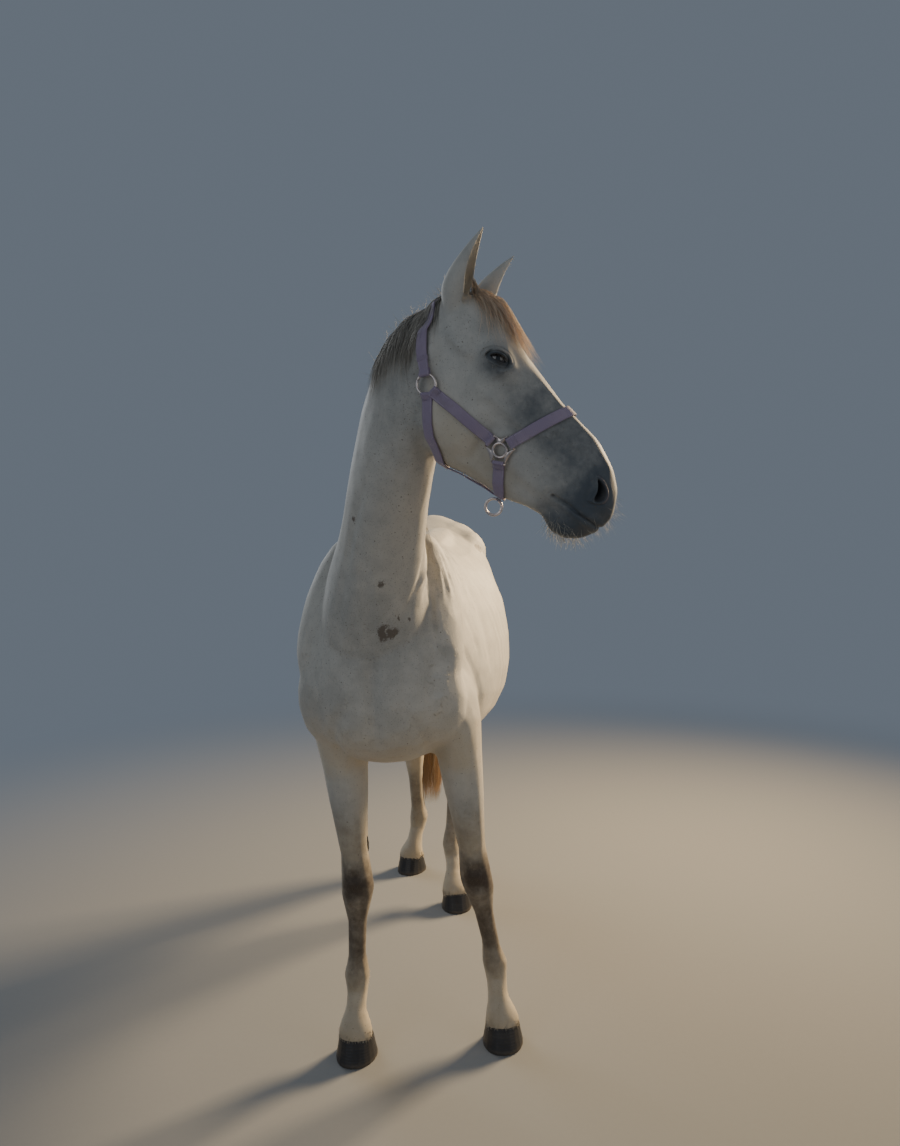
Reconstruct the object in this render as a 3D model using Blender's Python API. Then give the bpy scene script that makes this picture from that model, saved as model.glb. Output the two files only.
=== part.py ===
# A life-size standing horse, still, with a webbing headcollar.
# Metres, +Z up. The horse faces -Y, its left side is +X and it stands on Z = 0.
# The tables measure from the breastbone's spot on the floor, on the trunk's midline;
# at the end everything moves so that the origin is the middle of the whole outline.
import math

import bmesh
import bpy
import numpy as np
from mathutils import Matrix, Vector
from mathutils.bvhtree import BVHTree

# ---- driving dimensions ------------------------------------------------------------------
withersHeight = 1.53
kneeHeight = 0.49
fetlockHeight = 0.215
coronetHeight = 0.072

origin = Vector((0.140, 0.3725, 0.0))           # the outline's middle, in the tables' terms
pollPlace = Vector((0.292, -0.493, 2.026))      # the top of the head, between the ears
headTurn = math.radians(83.7)                   # to the horse's left, from straight ahead
faceSlope = math.radians(52.0)                  # the nose line, below the horizontal

voxel = 0.008
smoothTurns = 8
fleshTriangles = 3500
partGap = 0.0003                                # left between touching pieces
ringSides = 28
stepsPerSpan = 4


# ---- small tools -------------------------------------------------------------------------
def smoothRows(rows, steps=stepsPerSpan):
    # A Catmull-Rom curve through the rows of a table, with some steps in each span.
    table = np.array(rows, float)
    padded = np.vstack([2 * table[0] - table[1], table, 2 * table[-1] - table[-2]])
    made = []
    for i in range(len(table) - 1):
        a, b, c, d = padded[i : i + 4]
        for t in np.arange(steps) / steps:
            bend, twist = 2 * a - 5 * b + 4 * c - d, 3 * b - a - 3 * c + d
            made.append(0.5 * (2 * b + (c - a) * t + bend * t**2 + twist * t**3))
    made.append(table[-1])
    return made


def ringPoints(top, bottom, side, taper=0.0, power=1.0, sides=ringSides):
    # An oval from bottom to top. side is half its width; taper makes the top narrower.
    centre, up = (top + bottom) / 2, (top - bottom) / 2
    points = []
    for k in range(sides):
        angle = 2 * math.pi * k / sides
        c, s = math.cos(angle), math.sin(angle)
        across = math.copysign(abs(c) ** power, c)
        rise = math.copysign(abs(s) ** power, s)
        points.append(centre + up * rise + side * across * (1 - taper * rise))
    return points


def loft(bm, rings):
    # Grows a closed skin over the rings, one edge extrusion at a time.
    turn = bm.verts.layers.int.get("turn") or bm.verts.layers.int.new("turn")
    verts = bmesh.ops.create_circle(bm, segments=len(rings[0]), radius=1.0)["verts"]
    for k, vert in enumerate(verts):
        vert[turn] = k
        vert.co = rings[0][k]
    edges = list({edge for vert in verts for edge in vert.link_edges})
    ends = [edges]
    for ring in rings[1:]:
        grown = bmesh.ops.extrude_edge_only(bm, edges=edges)["geom"]
        fresh = {item for item in grown if isinstance(item, bmesh.types.BMVert)}
        for vert in fresh:
            vert.co = ring[vert[turn]]
        edges = [
            item for item in grown
            if isinstance(item, bmesh.types.BMEdge) and item.verts[0] in fresh and item.verts[1] in fresh
        ]
    ends.append(edges)
    for loop in ends:
        bmesh.ops.contextual_create(bm, geom=loop)


def spindle(bm, start, end, thick, wide, facing=(1, 0, 0), reach=1.15):
    # An ellipsoid muscle from start to end: thick along facing, wide across it.
    start, end = Vector(start), Vector(end)
    along = (end - start).normalized()
    out = (Vector(facing) - along * along.dot(Vector(facing))).normalized()
    across = along.cross(out)
    turnMatrix = Matrix((out * thick, across * wide, along * (end - start).length / 2 * reach)).transposed()
    place = Matrix.Translation((start + end) / 2) @ turnMatrix.to_4x4()
    bmesh.ops.create_icosphere(bm, subdivisions=3, radius=1.0, matrix=place)


def bothSides(point):
    return [(sign * point[0], point[1], point[2]) for sign in (1, -1)]


# ---- trunk -------------------------------------------------------------------------------
# y, top, bottom, half width, taper
trunkRows = [
    (-0.262, 1.190, 1.040, 0.070, 0.05),
    (-0.240, 1.260, 0.960, 0.130, 0.05),
    (-0.180, 1.360, 0.895, 0.178, 0.08),
    (-0.080, 1.465, 0.855, 0.206, 0.14),
    (0.020, 1.514, 0.840, 0.226, 0.26),
    (0.120, withersHeight, 0.825, 0.246, 0.40),
    (0.250, 1.488, 0.805, 0.276, 0.28),
    (0.400, 1.452, 0.785, 0.306, 0.18),
    (0.550, 1.444, 0.780, 0.318, 0.10),
    (0.690, 1.464, 0.800, 0.306, 0.06),
    (0.810, 1.492, 0.845, 0.280, 0.06),
    (0.930, 1.512, 0.900, 0.256, 0.12),
    (1.040, 1.496, 0.950, 0.232, 0.18),
    (1.130, 1.452, 1.000, 0.194, 0.18),
    (1.200, 1.385, 1.080, 0.135, 0.15),
    (1.235, 1.310, 1.160, 0.060, 0.05),
]

# start, end, thickness, width: one side, mirrored to the other
trunkMuscles = [
    ((0.112, 0.060, 1.450), (0.190, -0.150, 1.130), 0.062, 0.108),   # shoulder blade
    ((0.140, 0.160, 1.300), (0.172, 0.060, 1.000), 0.066, 0.110),    # triceps
    ((0.148, -0.175, 1.160), (0.156, -0.060, 0.930), 0.078, 0.085),  # point of the shoulder
    ((0.065, -0.212, 1.130), (0.095, -0.120, 0.930), 0.068, 0.075),  # breast
    ((0.035, -0.190, 1.320), (0.045, -0.205, 1.050), 0.090, 0.062),  # foot of the neck
    ((0.066, 0.280, 1.385), (0.080, 0.860, 1.425), 0.066, 0.060),    # loin
    ((0.095, 0.740, 1.400), (0.115, 1.130, 1.290), 0.118, 0.130),    # croup
    ((0.150, 0.730, 1.400), (0.160, 0.900, 1.350), 0.082, 0.080),    # point of the hip
    ((0.095, 1.140, 1.330), (0.110, 1.120, 0.930), 0.098, 0.092),    # back of the thigh
    ((0.145, 0.920, 1.340), (0.155, 0.860, 0.960), 0.092, 0.130),    # front of the thigh
]


def addTrunk(bm):
    rings = []
    for y, top, bottom, half, taper in smoothRows(trunkRows):
        high, low = Vector((0, y, top)), Vector((0, y, bottom))
        rings.append(ringPoints(high, low, Vector((half, 0, 0)), taper, 0.88))
    loft(bm, rings)
    for start, end, thick, wide in trunkMuscles:
        for first, last in zip(bothSides(start), bothSides(end)):
            spindle(bm, first, last, thick, wide)


# ---- neck --------------------------------------------------------------------------------
# crest x, y, z, throat x, y, z, half thickness, taper
neckRows = [
    (0.000, 0.130, 1.500, 0.000, -0.150, 0.940, 0.180, 0.45),
    (0.000, 0.060, 1.528, 0.000, -0.215, 1.050, 0.158, 0.42),
    (0.002, -0.040, 1.572, 0.008, -0.266, 1.190, 0.126, 0.38),
    (0.018, -0.165, 1.658, 0.056, -0.322, 1.350, 0.102, 0.32),
    (0.038, -0.285, 1.775, 0.106, -0.395, 1.500, 0.090, 0.28),
    (0.078, -0.380, 1.885, 0.156, -0.458, 1.620, 0.082, 0.26),
    (0.145, -0.447, 1.968, 0.200, -0.480, 1.705, 0.078, 0.22),
    (0.232, -0.484, 2.000, 0.262, -0.487, 1.770, 0.072, 0.15),
]


def addNeck(bm):
    rows = smoothRows(neckRows, 6)
    middles = [(row[:3] + row[3:6]) / 2 for row in rows]
    rings = []
    for i, row in enumerate(rows):
        crest, throat = Vector(row[:3]), Vector(row[3:6])
        ahead = Vector(middles[min(i + 1, len(rows) - 1)] - middles[max(i - 1, 0)])
        across = ahead.cross(crest - throat).normalized()
        rings.append(ringPoints(crest, throat, across * row[6], row[7], 0.95))
    loft(bm, rings)


# ---- head --------------------------------------------------------------------------------
headHeading = Vector((math.sin(headTurn), -math.cos(headTurn), 0))
faceAxis = headHeading * math.cos(faceSlope) - Vector((0, 0, math.sin(faceSlope)))
faceOut = headHeading * math.sin(faceSlope) + Vector((0, 0, math.cos(faceSlope)))
headLeft = Vector((math.cos(headTurn), math.sin(headTurn), 0))


def headPoint(down, out, left=0.0):
    # down the face from the poll, out from the nose line, and to the horse's left
    return pollPlace + faceAxis * down + faceOut * out + headLeft * left


# down, centre out, half depth, half width, taper
skullRows = [
    (-0.020, -0.066, 0.040, 0.042, 0.10),
    (0.020, -0.056, 0.060, 0.062, 0.10),
    (0.060, -0.050, 0.072, 0.078, 0.12),
    (0.100, -0.050, 0.070, 0.086, 0.12),
    (0.150, -0.054, 0.066, 0.086, 0.12),
    (0.200, -0.060, 0.066, 0.078, 0.18),
    (0.260, -0.064, 0.067, 0.068, 0.26),
    (0.320, -0.064, 0.066, 0.060, 0.30),
    (0.380, -0.061, 0.068, 0.054, 0.26),
    (0.430, -0.064, 0.072, 0.053, 0.20),
    (0.480, -0.072, 0.071, 0.055, 0.10),
    (0.520, -0.083, 0.066, 0.056, 0.05),
    (0.550, -0.094, 0.053, 0.050, 0.0),
    (0.575, -0.101, 0.028, 0.030, 0.0),
]
jawRows = [
    (0.050, -0.120, 0.030, 0.034, 0.0),
    (0.100, -0.145, 0.056, 0.056, 0.0),
    (0.150, -0.170, 0.075, 0.066, -0.05),
    (0.200, -0.190, 0.090, 0.066, -0.05),
    (0.245, -0.195, 0.090, 0.060, -0.10),
    (0.290, -0.184, 0.080, 0.052, -0.10),
    (0.340, -0.172, 0.073, 0.044, -0.10),
    (0.390, -0.160, 0.070, 0.040, -0.10),
    (0.430, -0.150, 0.056, 0.038, -0.05),
    (0.470, -0.146, 0.042, 0.038, 0.0),
    (0.510, -0.152, 0.042, 0.040, 0.0),
    (0.545, -0.150, 0.030, 0.034, 0.0),
    (0.567, -0.142, 0.014, 0.020, 0.0),
]
# start, end (down, out, left), thickness, width
headMuscles = [
    ((0.122, -0.042, 0.074), (0.218, -0.050, 0.070), 0.027, 0.034),  # orbit
    ((0.040, -0.080, 0.066), (0.140, -0.082, 0.080), 0.020, 0.026),  # cheekbone arch
    ((0.060, -0.100, 0.056), (0.260, -0.120, 0.056), 0.034, 0.056),  # below the eye
    ((0.170, -0.112, 0.064), (0.340, -0.098, 0.048), 0.022, 0.036),  # facial crest
    ((0.110, -0.140, 0.052), (0.260, -0.215, 0.046), 0.036, 0.090),  # cheek
    ((0.230, -0.135, 0.042), (0.480, -0.125, 0.034), 0.028, 0.050),  # side of the mouth
    ((0.020, -0.110, 0.052), (0.130, -0.185, 0.052), 0.036, 0.050),  # behind the jaw
    ((0.465, -0.048, 0.036), (0.550, -0.078, 0.040), 0.024, 0.034),  # nostril wing
    ((0.490, -0.110, 0.028), (0.556, -0.112, 0.028), 0.030, 0.036),  # upper lip
]


def addHead(bm):
    for rows in (skullRows, jawRows):
        rings = []
        for down, middle, depth, half, taper in smoothRows(rows):
            top, bottom = headPoint(down, middle + depth), headPoint(down, middle - depth)
            rings.append(ringPoints(top, bottom, headLeft * half, taper, 0.78))
        loft(bm, rings)
    for start, end, thick, wide in headMuscles:
        for sign in (1, -1):
            first = headPoint(start[0], start[1], sign * start[2])
            last = headPoint(end[0], end[1], sign * end[2])
            spindle(bm, first, last, thick, wide, headLeft)


# ---- legs --------------------------------------------------------------------------------
# height, front, back, half width; the leg's own line is at y = 0
foreRows = [
    (1.140, -0.090, 0.080, 0.045),
    (1.060, -0.130, 0.120, 0.070),
    (0.980, -0.130, 0.128, 0.078),
    (0.900, -0.100, 0.115, 0.070),
    (0.820, -0.074, 0.086, 0.062),
    (0.740, -0.062, 0.066, 0.054),
    (0.660, -0.052, 0.052, 0.045),
    (0.580, -0.045, 0.041, 0.038),
    (0.540, -0.047, 0.041, 0.041),
    (0.500, -0.051, 0.045, 0.0445),
    (0.460, -0.048, 0.048, 0.044),
    (0.420, -0.040, 0.040, 0.036),
    (0.380, -0.032, 0.036, 0.027),
    (0.310, -0.028, 0.034, 0.0245),
    (0.260, -0.029, 0.036, 0.0265),
    (0.220, -0.035, 0.044, 0.034),
    (0.185, -0.036, 0.038, 0.031),
    (0.145, -0.052, 0.014, 0.0275),
    (0.110, -0.071, 0.002, 0.031),
    (0.080, -0.090, 0.004, 0.041),
    (0.050, -0.098, 0.006, 0.046),
]
# height, front, back, half width, with the hock, fetlock and hoof of a square stance
hindRows = [
    (1.270, 0.940, 1.130, 0.050),
    (1.190, 0.860, 1.200, 0.094),
    (1.060, 0.830, 1.225, 0.104),
    (0.950, 0.800, 1.190, 0.098),
    (0.860, 0.830, 1.140, 0.080),
    (0.770, 0.890, 1.115, 0.062),
    (0.690, 0.950, 1.115, 0.050),
    (0.620, 1.000, 1.148, 0.042),
    (0.575, 1.012, 1.160, 0.044),
    (0.530, 1.022, 1.140, 0.045),
    (0.480, 1.034, 1.118, 0.038),
    (0.430, 1.044, 1.112, 0.030),
    (0.350, 1.050, 1.112, 0.0265),
    (0.270, 1.052, 1.118, 0.028),
    (0.225, 1.044, 1.128, 0.035),
    (0.190, 1.042, 1.120, 0.032),
    (0.148, 1.022, 1.088, 0.028),
    (0.112, 1.002, 1.074, 0.031),
    (0.080, 0.984, 1.076, 0.041),
    (0.050, 0.976, 1.078, 0.046),
]
# where each leg's line is: height, x, y shift; toeOut turns the pastern and hoof
legPoses = {
    "front_left": {
        "line": [
            (1.14, 0.160, -0.02),
            (0.86, 0.192, 0.00),
            (0.49, 0.227, 0.035),
            (0.22, 0.274, 0.052),
            (0, 0.289, 0.056),
        ],
        "toeOut": math.radians(6),
        "hind": False,
    },
    "front_right": {
        "line": [
            (1.14, -0.150, -0.03),
            (0.86, -0.134, -0.02),
            (0.49, -0.108, -0.02),
            (0.22, -0.120, -0.03),
            (0, -0.117, -0.025),
        ],
        "toeOut": math.radians(-3),
        "hind": False,
    },
    "hind_left": {
        "line": [
            (1.18, 0.135, 0.0),
            (0.95, 0.135, -0.02),
            (0.57, 0.088, -0.075),
            (0.225, 0.064, -0.14),
            (0, 0.077, -0.165),
        ],
        "toeOut": math.radians(8),
        "hind": True,
    },
    "hind_right": {
        "line": [
            (1.18, -0.135, 0.0),
            (0.95, -0.135, 0.02),
            (0.57, -0.108, 0.075),
            (0.225, -0.110, 0.14),
            (0, -0.122, 0.166),
        ],
        "toeOut": math.radians(-18),
        "hind": True,
    },
}
hindHoofLine = 1.068                            # y of a square hind leg's pastern line


def legLine(pose, height):
    line = sorted(pose["line"])
    heights = [row[0] for row in line]
    x = float(np.interp(height, heights, [row[1] for row in line]))
    shift = float(np.interp(height, heights, [row[2] for row in line]))
    return x, shift


def legPoint(pose, height, across, y):
    # across is to +X from the leg's line; y is from the table's own line
    x, shift = legLine(pose, height)
    pivot = hindHoofLine if pose["hind"] else 0.0
    share = min(1.0, max(0.0, (kneeHeight - height) / (kneeHeight - fetlockHeight)))
    angle = pose["toeOut"] * share
    dx = across * math.cos(angle) - (y - pivot) * math.sin(angle)
    dy = across * math.sin(angle) + (y - pivot) * math.cos(angle)
    return Vector((x + dx, pivot + shift + dy, height))


def addLeg(bm, pose):
    rings = []
    for height, front, back, half in smoothRows(hindRows if pose["hind"] else foreRows):
        ahead = legPoint(pose, height, 0, front)
        behind = legPoint(pose, height, 0, back)
        side = legPoint(pose, height, half, (front + back) / 2) - (ahead + behind) / 2
        rings.append(ringPoints(ahead, behind, side, 0.0, 0.95))
    loft(bm, rings)


# ---- hooves ------------------------------------------------------------------------------
# rise from sole (0) to coronet (1), length of toe from the hoof's middle, heel, half width
hoofRows = [
    (0.00, 0.072, 0.060, 0.0585),
    (0.08, 0.072, 0.060, 0.0590),
    (0.50, 0.056, 0.055, 0.0530),
    (0.92, 0.042, 0.052, 0.0480),
    (1.00, 0.037, 0.048, 0.0445),
]
coronetSlope = math.radians(20.0)               # the coronet falls to the heel
hoofSides = 20
hoofMiddle = -0.046                             # y of the hoof's middle in the leg's table


def hoofFrame(pose):
    # the hoof's middle on the floor, its toe and its side
    middle = hoofMiddle + (hindHoofLine if pose["hind"] else 0.0)
    place = legPoint(pose, 0.0, 0, middle)
    toe = (legPoint(pose, 0.0, 0, middle - 0.1) - place).normalized()
    return place, toe, Vector((-toe.y, toe.x, 0))


def coronetPlane(pose):
    place, toe, side = hoofFrame(pose)
    normal = Vector((0, 0, 1)) * math.cos(coronetSlope) - toe * math.sin(coronetSlope)
    return place + Vector((0, 0, coronetHeight)), normal


def hoofRings(pose):
    place, toe, side = hoofFrame(pose)
    top, normal = coronetPlane(pose)
    rings = []
    for rise, front, heel, half in hoofRows:
        points = []
        for k in range(hoofSides):
            angle = 2 * math.pi * k / hoofSides
            ahead = math.sin(angle)
            reach = front if ahead > 0 else heel
            across = half * math.copysign(abs(math.cos(angle)) ** 0.9, math.cos(angle))
            spot = place + toe * ahead * reach + side * across
            ceiling = -normal.dot(spot - top) / normal.z - partGap
            spot.z = rise * ceiling
            points.append(spot)
        rings.append(points)
    return rings


# ---- tail --------------------------------------------------------------------------------
# x, y, z, half width, half depth
tailRows = [
    (0.000, 1.150, 1.410, 0.030, 0.026),
    (0.000, 1.215, 1.390, 0.032, 0.028),
    (-0.002, 1.262, 1.345, 0.034, 0.030),
    (-0.006, 1.288, 1.270, 0.038, 0.033),
    (-0.014, 1.298, 1.150, 0.046, 0.038),
    (-0.024, 1.300, 0.950, 0.056, 0.044),
    (-0.036, 1.294, 0.720, 0.058, 0.046),
    (-0.050, 1.286, 0.500, 0.050, 0.040),
    (-0.058, 1.280, 0.340, 0.034, 0.028),
    (-0.062, 1.278, 0.262, 0.014, 0.012),
]


def tailRings():
    rows = smoothRows(tailRows, 2)
    rings = []
    for i, row in enumerate(rows):
        ahead = Vector(rows[min(i + 1, len(rows) - 1)][:3] - rows[max(i - 1, 0)][:3]).normalized()
        side = Vector((1, 0, 0))
        out = ahead.cross(side).normalized()
        middle = Vector(row[:3])
        rings.append(ringPoints(middle + out * row[4], middle - out * row[4], side * row[3], sides=9))
    return rings


# ---- ears --------------------------------------------------------------------------------
# base and tip (down, out, left)
ears = {
    "ear_right": ((0.022, -0.034, -0.050), (-0.055, 0.100, -0.078)),
    "ear_left": ((0.030, -0.026, 0.050), (-0.010, 0.118, 0.072)),
}
# share of the length, half width, how far round the wall goes from the back, in degrees
earRows = [
    (-0.20, 0.024, 158),
    (0.00, 0.030, 155),
    (0.18, 0.034, 138),
    (0.38, 0.033, 118),
    (0.60, 0.026, 105),
    (0.80, 0.016, 98),
    (0.93, 0.0075, 95),
    (1.00, 0.0040, 92),
]
earWall = 0.0045
earSteps = 7


def earRings(base, tip, left):
    base, tip = headPoint(*base), headPoint(*tip)
    along = tip - base
    back = -(faceAxis * 0.75 + faceOut * 0.45 + headLeft * left * 0.25)
    back = (back - along * back.dot(along) / along.length_squared).normalized()
    side = along.normalized().cross(back)
    rings = []
    for share, half, reach in earRows:
        middle = base + along * share - back * 0.010 * math.sin(math.pi * min(1, max(0, share)))
        wall = min(earWall, half * 0.75)
        points = []
        for radius, turn in ((half, 1), (half - wall, -1)):
            for k in range(earSteps + 1):
                angle = turn * math.radians(reach * (2 * k / earSteps - 1))
                points.append(middle + (back * math.cos(angle) * 0.8 + side * math.sin(angle)) * radius)
        rings.append(points)
    return rings


# ---- eyes --------------------------------------------------------------------------------
eyeRadius = 0.0215
eyePlace = (0.168, -0.047, 0.0780)              # down, out, left


# ---- headcollar --------------------------------------------------------------------------
webWide = 0.025
webThick = 0.003
webGap = 0.0014                                 # from the coat to the webbing
webStep = 0.020
ringWire = 0.0028
cheekRing = 0.0215
chinRing = 0.018
fittingRing = 0.0150
ringSpot = (0.112, -0.196, 0.092)
fittingSpot = (0.313, -0.157, 0.055)
chinSpot = (0.384, -0.232, 0.0)
ringLift = 0.0006                               # from the coat to the rings
barReach = 0.013                                # from a fitting's ring to the end of its bars
barWide = 0.030
barThick = 0.0034
# down, out, left along each strap; the first and last are the middles of its rings
crownRow = [ringSpot, (0.040, -0.150, 0.088), (-0.020, -0.105, 0.070), (-0.045, -0.072, 0.030)]
throatRow = [ringSpot, (0.170, -0.245, 0.080), (0.220, -0.276, 0.055), (0.250, -0.290, 0.020)]
cheekRow = [ringSpot, (0.180, -0.180, 0.080), (0.250, -0.168, 0.066), fittingSpot]
noseRow = [fittingSpot, (0.322, -0.100, 0.062), (0.332, -0.045, 0.052), (0.340, -0.006, 0.028)]
jawRow = [fittingSpot, (0.345, -0.195, 0.044), (0.378, -0.226, 0.026)]
linkRow = [(0.254, -0.290, 0.0), (0.300, -0.262, 0.0), (0.345, -0.245, 0.0), (0.384, -0.232, 0.0)]


def mirrored(row, middle=None):
    # The row, a middle point if any, and the row again on the other side.
    other = [(down, out, -left) for down, out, left in reversed(row)]
    return list(row) + ([middle] if middle else []) + other


def onCoat(tree, point, gap):
    # The point moved out to the gap from the coat, and the coat's direction there.
    place, normal = tree.find_nearest(point)[:2]
    if (point - place).dot(normal) < gap:
        point = place + normal * gap
    return point, normal


def layPath(tree, spots, clearStart, clearEnd):
    # Evenly spaced points on the coat, from a clear distance of one end to the other.
    dense = [Vector(row) for row in smoothRows([headPoint(*spot) for spot in spots], 24)]
    laid = []
    for point in dense:
        place, normal = tree.find_nearest(point)[:2]
        laid.append(place + normal * webGap)
    for turn in range(12):
        for i in range(1, len(laid) - 1):
            laid[i] = onCoat(tree, (laid[i - 1] + laid[i + 1]) / 2, webGap)[0]
    first, last = laid[0], laid[-1]
    kept = [p for p in laid if (p - first).length >= clearStart and (p - last).length >= clearEnd]
    lengths = [0.0]
    for a, b in zip(kept, kept[1:]):
        lengths.append(lengths[-1] + (b - a).length)
    count = max(3, round(lengths[-1] / webStep) + 1)
    spaced = []
    for k in range(count):
        aim = lengths[-1] * k / (count - 1)
        i = min(len(kept) - 2, max(j for j, length in enumerate(lengths) if length <= aim + 1e-9))
        share = (aim - lengths[i]) / max(1e-9, lengths[i + 1] - lengths[i])
        spaced.append(kept[i].lerp(kept[i + 1], share))
    return spaced


def addWebbing(bm, tree, spots, clearStart=0.0, clearEnd=0.0):
    path = layPath(tree, spots, clearStart, clearEnd)
    normals = [tree.find_nearest(point)[1] for point in path]
    rings = []
    for i, point in enumerate(path):
        near = normals[max(i - 1, 0) : i + 2]
        ahead = (path[min(i + 1, len(path) - 1)] - path[max(i - 1, 0)]).normalized()
        out = sum(near, Vector()).normalized()
        out = (out - ahead * out.dot(ahead)).normalized()
        side = ahead.cross(out)
        inner = [onCoat(tree, point + side * webWide * share, webGap)[0] for share in (-0.5, 0, 0.5)]
        outer = [spot + out * webThick for spot in reversed(inner)]
        rings.append(inner + outer)
    loft(bm, rings)


def addRoundRing(bm, middle, normal, radius, wire, around=16, through=5):
    # A ring of round wire: a circle of wire spun about the normal.
    side = normal.orthogonal().normalized()
    turn = Matrix((side, normal, side.cross(normal))).transposed().to_4x4()
    place = Matrix.Translation(middle + side * radius) @ turn
    made = bmesh.ops.create_circle(bm, segments=through, radius=wire, matrix=place)
    edges = list({edge for vert in made["verts"] for edge in vert.link_edges})
    bmesh.ops.spin(
        bm,
        geom=edges,
        cent=middle,
        axis=normal,
        angle=2 * math.pi,
        steps=around,
        use_merge=True,
        use_duplicate=False,
    )


def fittingShape(middle, normal, aims):
    # A ring with a T-bar towards each strap's end.
    ring = bmesh.new()
    addRoundRing(ring, middle, normal, fittingRing, ringWire)
    bars = []
    for aim in aims:
        along = (aim - middle) - normal * (aim - middle).dot(normal)
        along.normalize()
        across = normal.cross(along)
        for start, end, wide in ((0, barReach - 0.002, 0.007), (barReach - 0.0045, barReach, barWide)):
            bars.append(bmesh.new())
            spot = middle + along * (fittingRing + (start + end) / 2)
            addBox(bars[-1], spot, (along, across, normal), (end - start, wide, barThick))
    return combined(ring, bars, "UNION")


def addBox(bm, middle, axes, sizes):
    turn = Matrix([axis * size for axis, size in zip(axes, sizes)]).transposed().to_4x4()
    bmesh.ops.create_cube(bm, size=1.0, matrix=Matrix.Translation(middle) @ turn)


# ---- building ----------------------------------------------------------------------------
def clearScene():
    for item in list(bpy.data.objects):
        bpy.data.objects.remove(item)


def material(name, colour, rough, metallic=0.0):
    made = bpy.data.materials.new(name)
    made.use_nodes = True
    shader = made.node_tree.nodes["Principled BSDF"]
    shader.inputs["Base Color"].default_value = colour
    shader.inputs["Roughness"].default_value = rough
    shader.inputs["Metallic"].default_value = metallic
    return made


def finished(name, bm, finish=None):
    # Puts a mesh in the scene as one named object with its own material.
    bmesh.ops.recalc_face_normals(bm, faces=bm.faces)
    mesh = bpy.data.meshes.new(name)
    bm.to_mesh(mesh)
    bm.free()
    if finish:
        mesh.materials.append(finish)
    made = bpy.data.objects.new(name, mesh)
    bpy.context.scene.collection.objects.link(made)
    return made


def taken(item):
    # The object's mesh with its modifiers applied, as a bmesh; the object goes.
    bm = bmesh.new()
    bm.from_object(item, bpy.context.evaluated_depsgraph_get())
    bpy.data.objects.remove(item)
    return bm


def combined(first, others, how):
    # One bmesh: the first mesh with the others taken off it or added to it.
    base = finished("base", first)
    tools = [finished("tool", other) for other in others]
    for tool in tools:
        change = base.modifiers.new(how.lower(), "BOOLEAN")
        change.operation = how
        change.object = tool
    made = taken(base)
    for tool in tools:
        bpy.data.objects.remove(tool)
    return made


def grown(bm, gap):
    # A copy of a mesh, each vertex pushed outwards.
    made = bm.copy()
    made.normal_update()
    for vert, normal in [(vert, vert.normal.copy()) for vert in made.verts]:
        vert.co += normal * gap
    return made


def buildFlesh():
    bm = bmesh.new()
    addTrunk(bm)
    addNeck(bm)
    addHead(bm)
    for pose in legPoses.values():
        addLeg(bm, pose)
    flesh = finished("flesh", bm)
    remesh = flesh.modifiers.new("remesh", "REMESH")
    remesh.mode = "VOXEL"
    remesh.voxel_size = voxel
    smooth = flesh.modifiers.new("smooth", "SMOOTH")
    smooth.factor = 0.5
    smooth.iterations = smoothTurns
    flesh = finished("flesh", taken(flesh))
    thin = flesh.modifiers.new("thin", "DECIMATE")
    thin.ratio = fleshTriangles / (2 * len(flesh.data.polygons))
    return taken(flesh)


# y and z of the two ends of each leg's plates: at the body, and below the knee or hock
foreCut = (((-0.16, 0.850), (0.20, 0.770)), ((-0.12, 0.420), (0.14, 0.420)))
hindCut = (((0.76, 0.790), (1.20, 0.855)), ((0.94, 0.470), (1.22, 0.470)))


def cuts():
    # Where the flesh is parted: each plate's middle, normal, line, length and width.
    across = Vector((1, 0, 0))
    top, bottom = headPoint(-0.045, -0.060), headPoint(0.215, -0.285)
    line = (bottom - top).normalized()
    made = [((top + bottom) / 2, line.cross(headLeft).normalized(), line, 0.50, 0.36)]
    withers, breast = Vector((0, 0.070, 1.560)), Vector((0, -0.290, 1.150))
    line = (breast - withers).normalized()
    made.append(((withers + breast) / 2, line.cross(across), line, 0.74, 0.80))
    for pose in legPoses.values():
        for ends in hindCut if pose["hind"] else foreCut:
            front, back = [Vector((0, *end)) for end in ends]
            middle = (front + back) / 2
            x, shift = legLine(pose, middle.z)
            middle += Vector((x, shift if pose["hind"] else 0, 0))
            line = (back - front).normalized()
            made.append((middle, line.cross(across), line, (back - front).length, 0.25))
    return made


def plates():
    bm = bmesh.new()
    for middle, normal, line, length, width in cuts():
        addBox(bm, middle, (normal, line, normal.cross(line)), (partGap, length, width))
    return bm


def hoofSpaces():
    # Everything below each coronet.
    bm = bmesh.new()
    for pose in legPoses.values():
        top, normal = coronetPlane(pose)
        place, toe, side = hoofFrame(pose)
        addBox(bm, top - normal * 0.06, (normal, side, normal.cross(side)), (0.12, 0.16, 0.18))
    return bm


def islands(bm):
    # The mesh's separate closed pieces, each a set of faces.
    left = set(bm.faces)
    found = []
    while left:
        piece, edge = set(), [left.pop()]
        while edge:
            face = edge.pop()
            piece.add(face)
            for other in {other for line in face.edges for other in line.link_faces}:
                if other in left:
                    left.discard(other)
                    edge.append(other)
        found.append(piece)
    return found


def anchors():
    made = {
        "head": headPoint(0.250, -0.100),
        "neck": Vector((0.050, -0.240, 1.580)),
        "trunk": Vector((0, 0.500, 1.150)),
    }
    for leg, pose in legPoses.items():
        upper = legPoint(pose, 0.62, 0, 1.07 if pose["hind"] else 0)
        lower = legPoint(pose, 0.25, 0, 1.08 if pose["hind"] else 0)
        made["leg_upper_" + leg] = upper
        made["leg_lower_" + leg] = lower
    return made


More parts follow.
